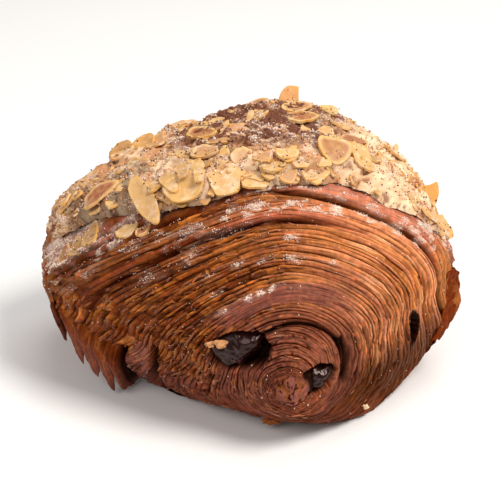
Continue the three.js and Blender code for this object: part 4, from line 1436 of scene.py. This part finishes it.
def flake_frame(flake):
    """Where a flake lies: its middle, and its long, cross and upward directions."""
    t, v = (part.reshape(1) for part in crust_place(np.array(flake.across), np.array(flake.along)))
    height = CLEARANCE + float(crust_depth(flake.across, flake.along)) - FLAKE["sunk"] + flake.lift
    spin, tip = math.radians(flake.spin), math.radians(flake.tip)
    normal = skin_normal(t, v)[0]
    side = unit(np.cross([0, 1.0, 0], normal))
    long_way = side * math.cos(spin) + np.cross(normal, side) * math.sin(spin)
    cross_way = np.cross(normal, long_way)
    tilted = long_way * math.cos(tip) + normal * math.sin(tip)
    upward = normal * math.cos(tip) - long_way * math.sin(tip)
    return skin_point(t, v)[0] + normal * height, np.array([tilted, cross_way, upward])


def flake_mesh(key, flake):
    """A thin, bent, egg-shaped slice, broken off straight in places: points, faces, and way out."""
    steps = np.linspace(-1, 1, flake.cells + 1)
    a, b = np.meshgrid(steps, steps, indexing="ij")
    x, y = a * np.sqrt(1 - b * b / 2), b * np.sqrt(1 - a * a / 2)
    share, turn = np.hypot(x, y), np.mod(np.arctan2(y, x), TURN)
    c, s = np.cos(turn), np.sin(turn)
    reach = (np.abs(c) ** flake.square + np.abs(s) ** flake.square) ** (-1 / flake.square)
    for k in range(flake.breaks):
        towards = np.cos(turn - TURN * draw(key, 51 + k))
        cut = mix(0.35, 0.75, draw(key, 61 + k)) / np.maximum(towards, 1e-3)
        reach = np.minimum(reach, np.where(towards > 0, cut, 9))
    nibbles = rough_field(turn * 2.2 + key * 7.7, key * 1.3 + 0 * turn, 3) * np.sin(turn / 2) ** 2
    reach = share * reach * (1 + 0.2 * nibbles)
    x = reach * c * flake.length / 2
    y = reach * s * (1 - 0.25 * c) * flake.width / 2
    bulge = 0.14 * waver(x * 0.7 + key, y * 0.7 + key * 2)
    bend = FLAKE["bend"] * (flake.length / 8) * mix(-0.9, 1, draw(key, 71))
    cup = 0.35 * draw(key, 72) * (flake.width / 6) * (2 * y / flake.width) ** 2
    z = flake.thickness / 2 - bend * (2 * x / flake.length) ** 2 + cup + bulge
    points, faces = sheet_mesh(np.stack([x, y, z], -1), flake.thickness, np.array([0, 0, 1.0]))
    return points, faces, np.tile(share.ravel(), 2)


def flake_colour(key, toast, points, share):
    """Pale flesh with a golden rim, toasted in the middle or golden all over."""
    x, y = points[:, 0], points[:, 1]
    mottle = rough_field(x * 0.9 + key, y * 0.9, 3)
    tone = blend("almond", "cream_pale", 0.85 * smooth(0.1 + mottle * 1.6))
    tone = blend(tone, "almond_edge", clamp01(-toast))
    toasted = clamp01(toast + 0.3 * draw(key, 94)) * before(share, 0.95, 0.3)
    tone = blend(tone, "almond_brown", clamp01(toasted * (0.8 + 0.5 * mottle)))
    hue = np.array([1, mix(0.93, 1.0, draw(key, 92)), mix(0.86, 1.05, draw(key, 93))])
    tone = tone * mix(0.86, 1.08, draw(key, 91)) * hue
    rim = past(share, 0.84, 0.16) * smooth(0.5 + 1.4 * rough_field(x * 0.4, y * 0.4 + key, 2))
    return blend(tone, "almond_edge", 0.75 * rim)


def flakes_piece(material):
    """All the flakes, joined in one mesh."""
    parts, tints, walls = [], [], []
    flakes = [*noted_flakes(), *edge_flakes(), *scattered_flakes(), *flake_bits()]
    for key, flake in enumerate(flakes):
        off_patch = math.dist((flake.across, flake.along * 0.3), BARE_PATCH["at"])
        if key >= len(NOTED_FLAKES) and off_patch < BARE_PATCH["reach"]:
            continue
        middle, ways = flake_frame(flake)
        points, quads, share = flake_mesh(key, flake)
        parts.append((middle + points @ ways, quads))
        walls.append(np.arange(len(quads)) >= 2 * flake.cells**2)
        tints.append(flake_colour(key, flake.toast, points, share))
    points, faces = join(parts)
    tint, flat = np.concatenate(tints), np.concatenate(walls)
    return make_piece("almond_flakes", points, faces, material, tint, {"sugar": 0.2}, flat, **CRUST)


def grains_piece(name, places, sizes, colour, material, seed, part):
    """Many small uneven crystals, joined in one mesh."""
    chance = np.random.default_rng(seed)
    count, corners = len(places), len(CRYSTAL)
    shape = CRYSTAL[None] * chance.uniform(0.55, 1.3, (count, corners, 1))
    turns = unit(chance.normal(size=(count, 3, 3)))
    a = turns[:, 0]
    b = unit(np.cross(a, turns[:, 1]))
    frames = np.stack([a, b, np.cross(a, b)], 1)
    points = places[:, None, :] + np.einsum("nij,njk->nik", shape * sizes[:, None, None], frames)
    faces = (CRYSTAL_FACES[None] + corners * np.arange(count)[:, None, None]).reshape(-1, 3)
    shade = chance.uniform(0.75, 1.05, (count, 1, 1)) * np.ones((count, corners, 1))
    flat = np.ones(len(faces), bool)
    return make_piece(name, points, faces, material, shade * srgb(colour), flat=flat, **part)


def clumps(places):
    """1 in the patches where grains gather, 0 between them."""
    x, y, z = places.T
    return past(rough_field(x * 0.8 + 0.5 * y, z * 0.8 + 0.6 * y, 3), 0.05, 0.25)


def point_values(data, name, width):
    values = np.zeros(len(data) * width)
    data.foreach_get(name, values)
    return values.reshape(-1, width)


def spots_on(piece, kind, count, seed):
    """Places just off a piece, more of them where it is sugared, and in clumps."""
    chance = np.random.default_rng(seed)
    mesh = piece.data
    places = point_values(mesh.vertices, "co", 3) / MM - CENTRE
    normals = point_values(mesh.vertices, "normal", 3)
    sugar = point_values(mesh.attributes["sugar"].data, "value", 1)[:, 0]
    clumped = mix(1, 0.06 + clumps(places), kind["gather"])
    weight = sugar ** kind["power"] * clumped + kind["scatter"]
    picked = chance.choice(len(weight), count, p=weight / weight.sum())
    jitter = chance.normal(scale=0.12, size=(count, 3))
    return places[picked] + jitter + normals[picked] * kind["off"]


def grains_on(piece, part, name, kind, colour, count, seed, sizes, material):
    """Loose grains of one kind on a piece."""
    places = spots_on(piece, kind, count, seed)
    share = np.random.default_rng(seed + 100).uniform(size=count) ** kind["lean"]
    return grains_piece(name, places, mix(*sizes, share), colour, material, seed, part)


def add_floor():
    bpy.ops.mesh.primitive_plane_add(size=FLOOR["size"], location=(0, 0, 0))
    floor = bpy.context.object
    floor.name = "floor"
    pale = Surface("pale_floor")
    rough = pale.ramp(pale.noise(6, 2), 0.3, 0.7, 0.75, 0.85)
    floor.data.materials.append(pale.finish(FLOOR["colour"], rough, {}))
    floor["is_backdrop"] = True


def direction(azimuth, elevation):
    """The way out from the object at a side and a height in degrees, 0 being its front."""
    a, e = math.radians(azimuth), math.radians(elevation)
    return Vector((math.sin(a) * math.cos(e), -math.cos(a) * math.cos(e), math.sin(e)))


def stand(name, data, target, towards, distance):
    """Puts a lamp or a camera some way out from a target, facing it."""
    thing = bpy.data.objects.new(name, data)
    thing.location = target + towards * distance
    thing.rotation_euler = towards.to_track_quat("Z", "Y").to_euler()
    bpy.context.scene.collection.objects.link(thing)
    return thing


def add_lamp(name, azimuth, elevation, distance, size, power, colour):
    lamp = bpy.data.lights.new(name, "AREA")
    lamp.shape = "DISK"
    lamp.size = size
    lamp.energy = power
    lamp.color = colour
    stand(name, lamp, Vector(LAMP_TARGET), direction(azimuth, elevation), distance)


def add_camera():
    camera = bpy.data.cameras.new("camera")
    camera.lens = CAMERA["lens"]
    camera.sensor_width = CAMERA["sensor"]
    camera.clip_start = CAMERA["nearest"]
    towards = direction(CAMERA["azimuth"], CAMERA["elevation"])
    target = Vector(CAMERA["target"]) * MM
    bpy.context.scene.camera = stand("camera", camera, target, towards, CAMERA["distance"] * MM)


def light_the_stage():
    world = bpy.data.worlds.new("studio")
    world.use_nodes = True
    backdrop = world.node_tree.nodes["Background"]
    backdrop.inputs["Color"].default_value = SKY["colour"]
    backdrop.inputs["Strength"].default_value = SKY["strength"]
    bpy.context.scene.world = world
    bpy.context.scene.view_settings.view_transform = "Standard"
    for name, values in LAMPS.items():
        add_lamp(name, *values)


dough = dough_material()
chocolate = chocolate_material()
cream = cream_material()
almond = almond_material()
stuff = {colour: grain_material(*values) for colour, values in GRAIN_STUFF.items()}

inner, inner_face, inner_points = front_piece("pastry_front_inner", INNER_MESH, -1, INNER_TURNS, dough)
outer, outer_face, outer_points = front_piece(
    "pastry_front_outer", OUTER_MESH, INNER_TURNS, SPIRAL["turns"], dough
)
shards_piece("pastry_shards_outer", outer_face, outer_points, *SHARDS["outer"], dough)
shards_piece("pastry_shards_inner", inner_face, inner_points, *SHARDS["inner"], dough)
tips_piece(dough)
flap_piece(dough)
bits_piece(dough)
core_piece(FRONT, "pastry_front_core", dough)
back_piece(dough)
core_piece(BACK, "pastry_back_core", dough)
skin = skin_piece(dough)
for baton_name, baton_values in BATONS.items():
    baton_piece(baton_name, baton_values, chocolate)
crust = cream_piece(cream)
flakes = flakes_piece(almond)

ground = {
    "outer_turns": (outer, PASTRY), "inner_turns": (inner, PASTRY), "skin": (skin, PASTRY),
    "crust": (crust, CRUST), "flakes": (flakes, CRUST),
}
for kind, place, colour, *values in GRAINS:
    name = kind + "_on_" + place
    grains_on(*ground[place], name, GRAIN_KINDS[kind], colour, *values, stuff[colour])

add_floor()
light_the_stage()
add_camera()

boxes = {"cad": CAD_BOX, "visual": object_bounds()}
plain = {key: [[float(c) for c in corner] for corner in box] for key, box in boxes.items()}
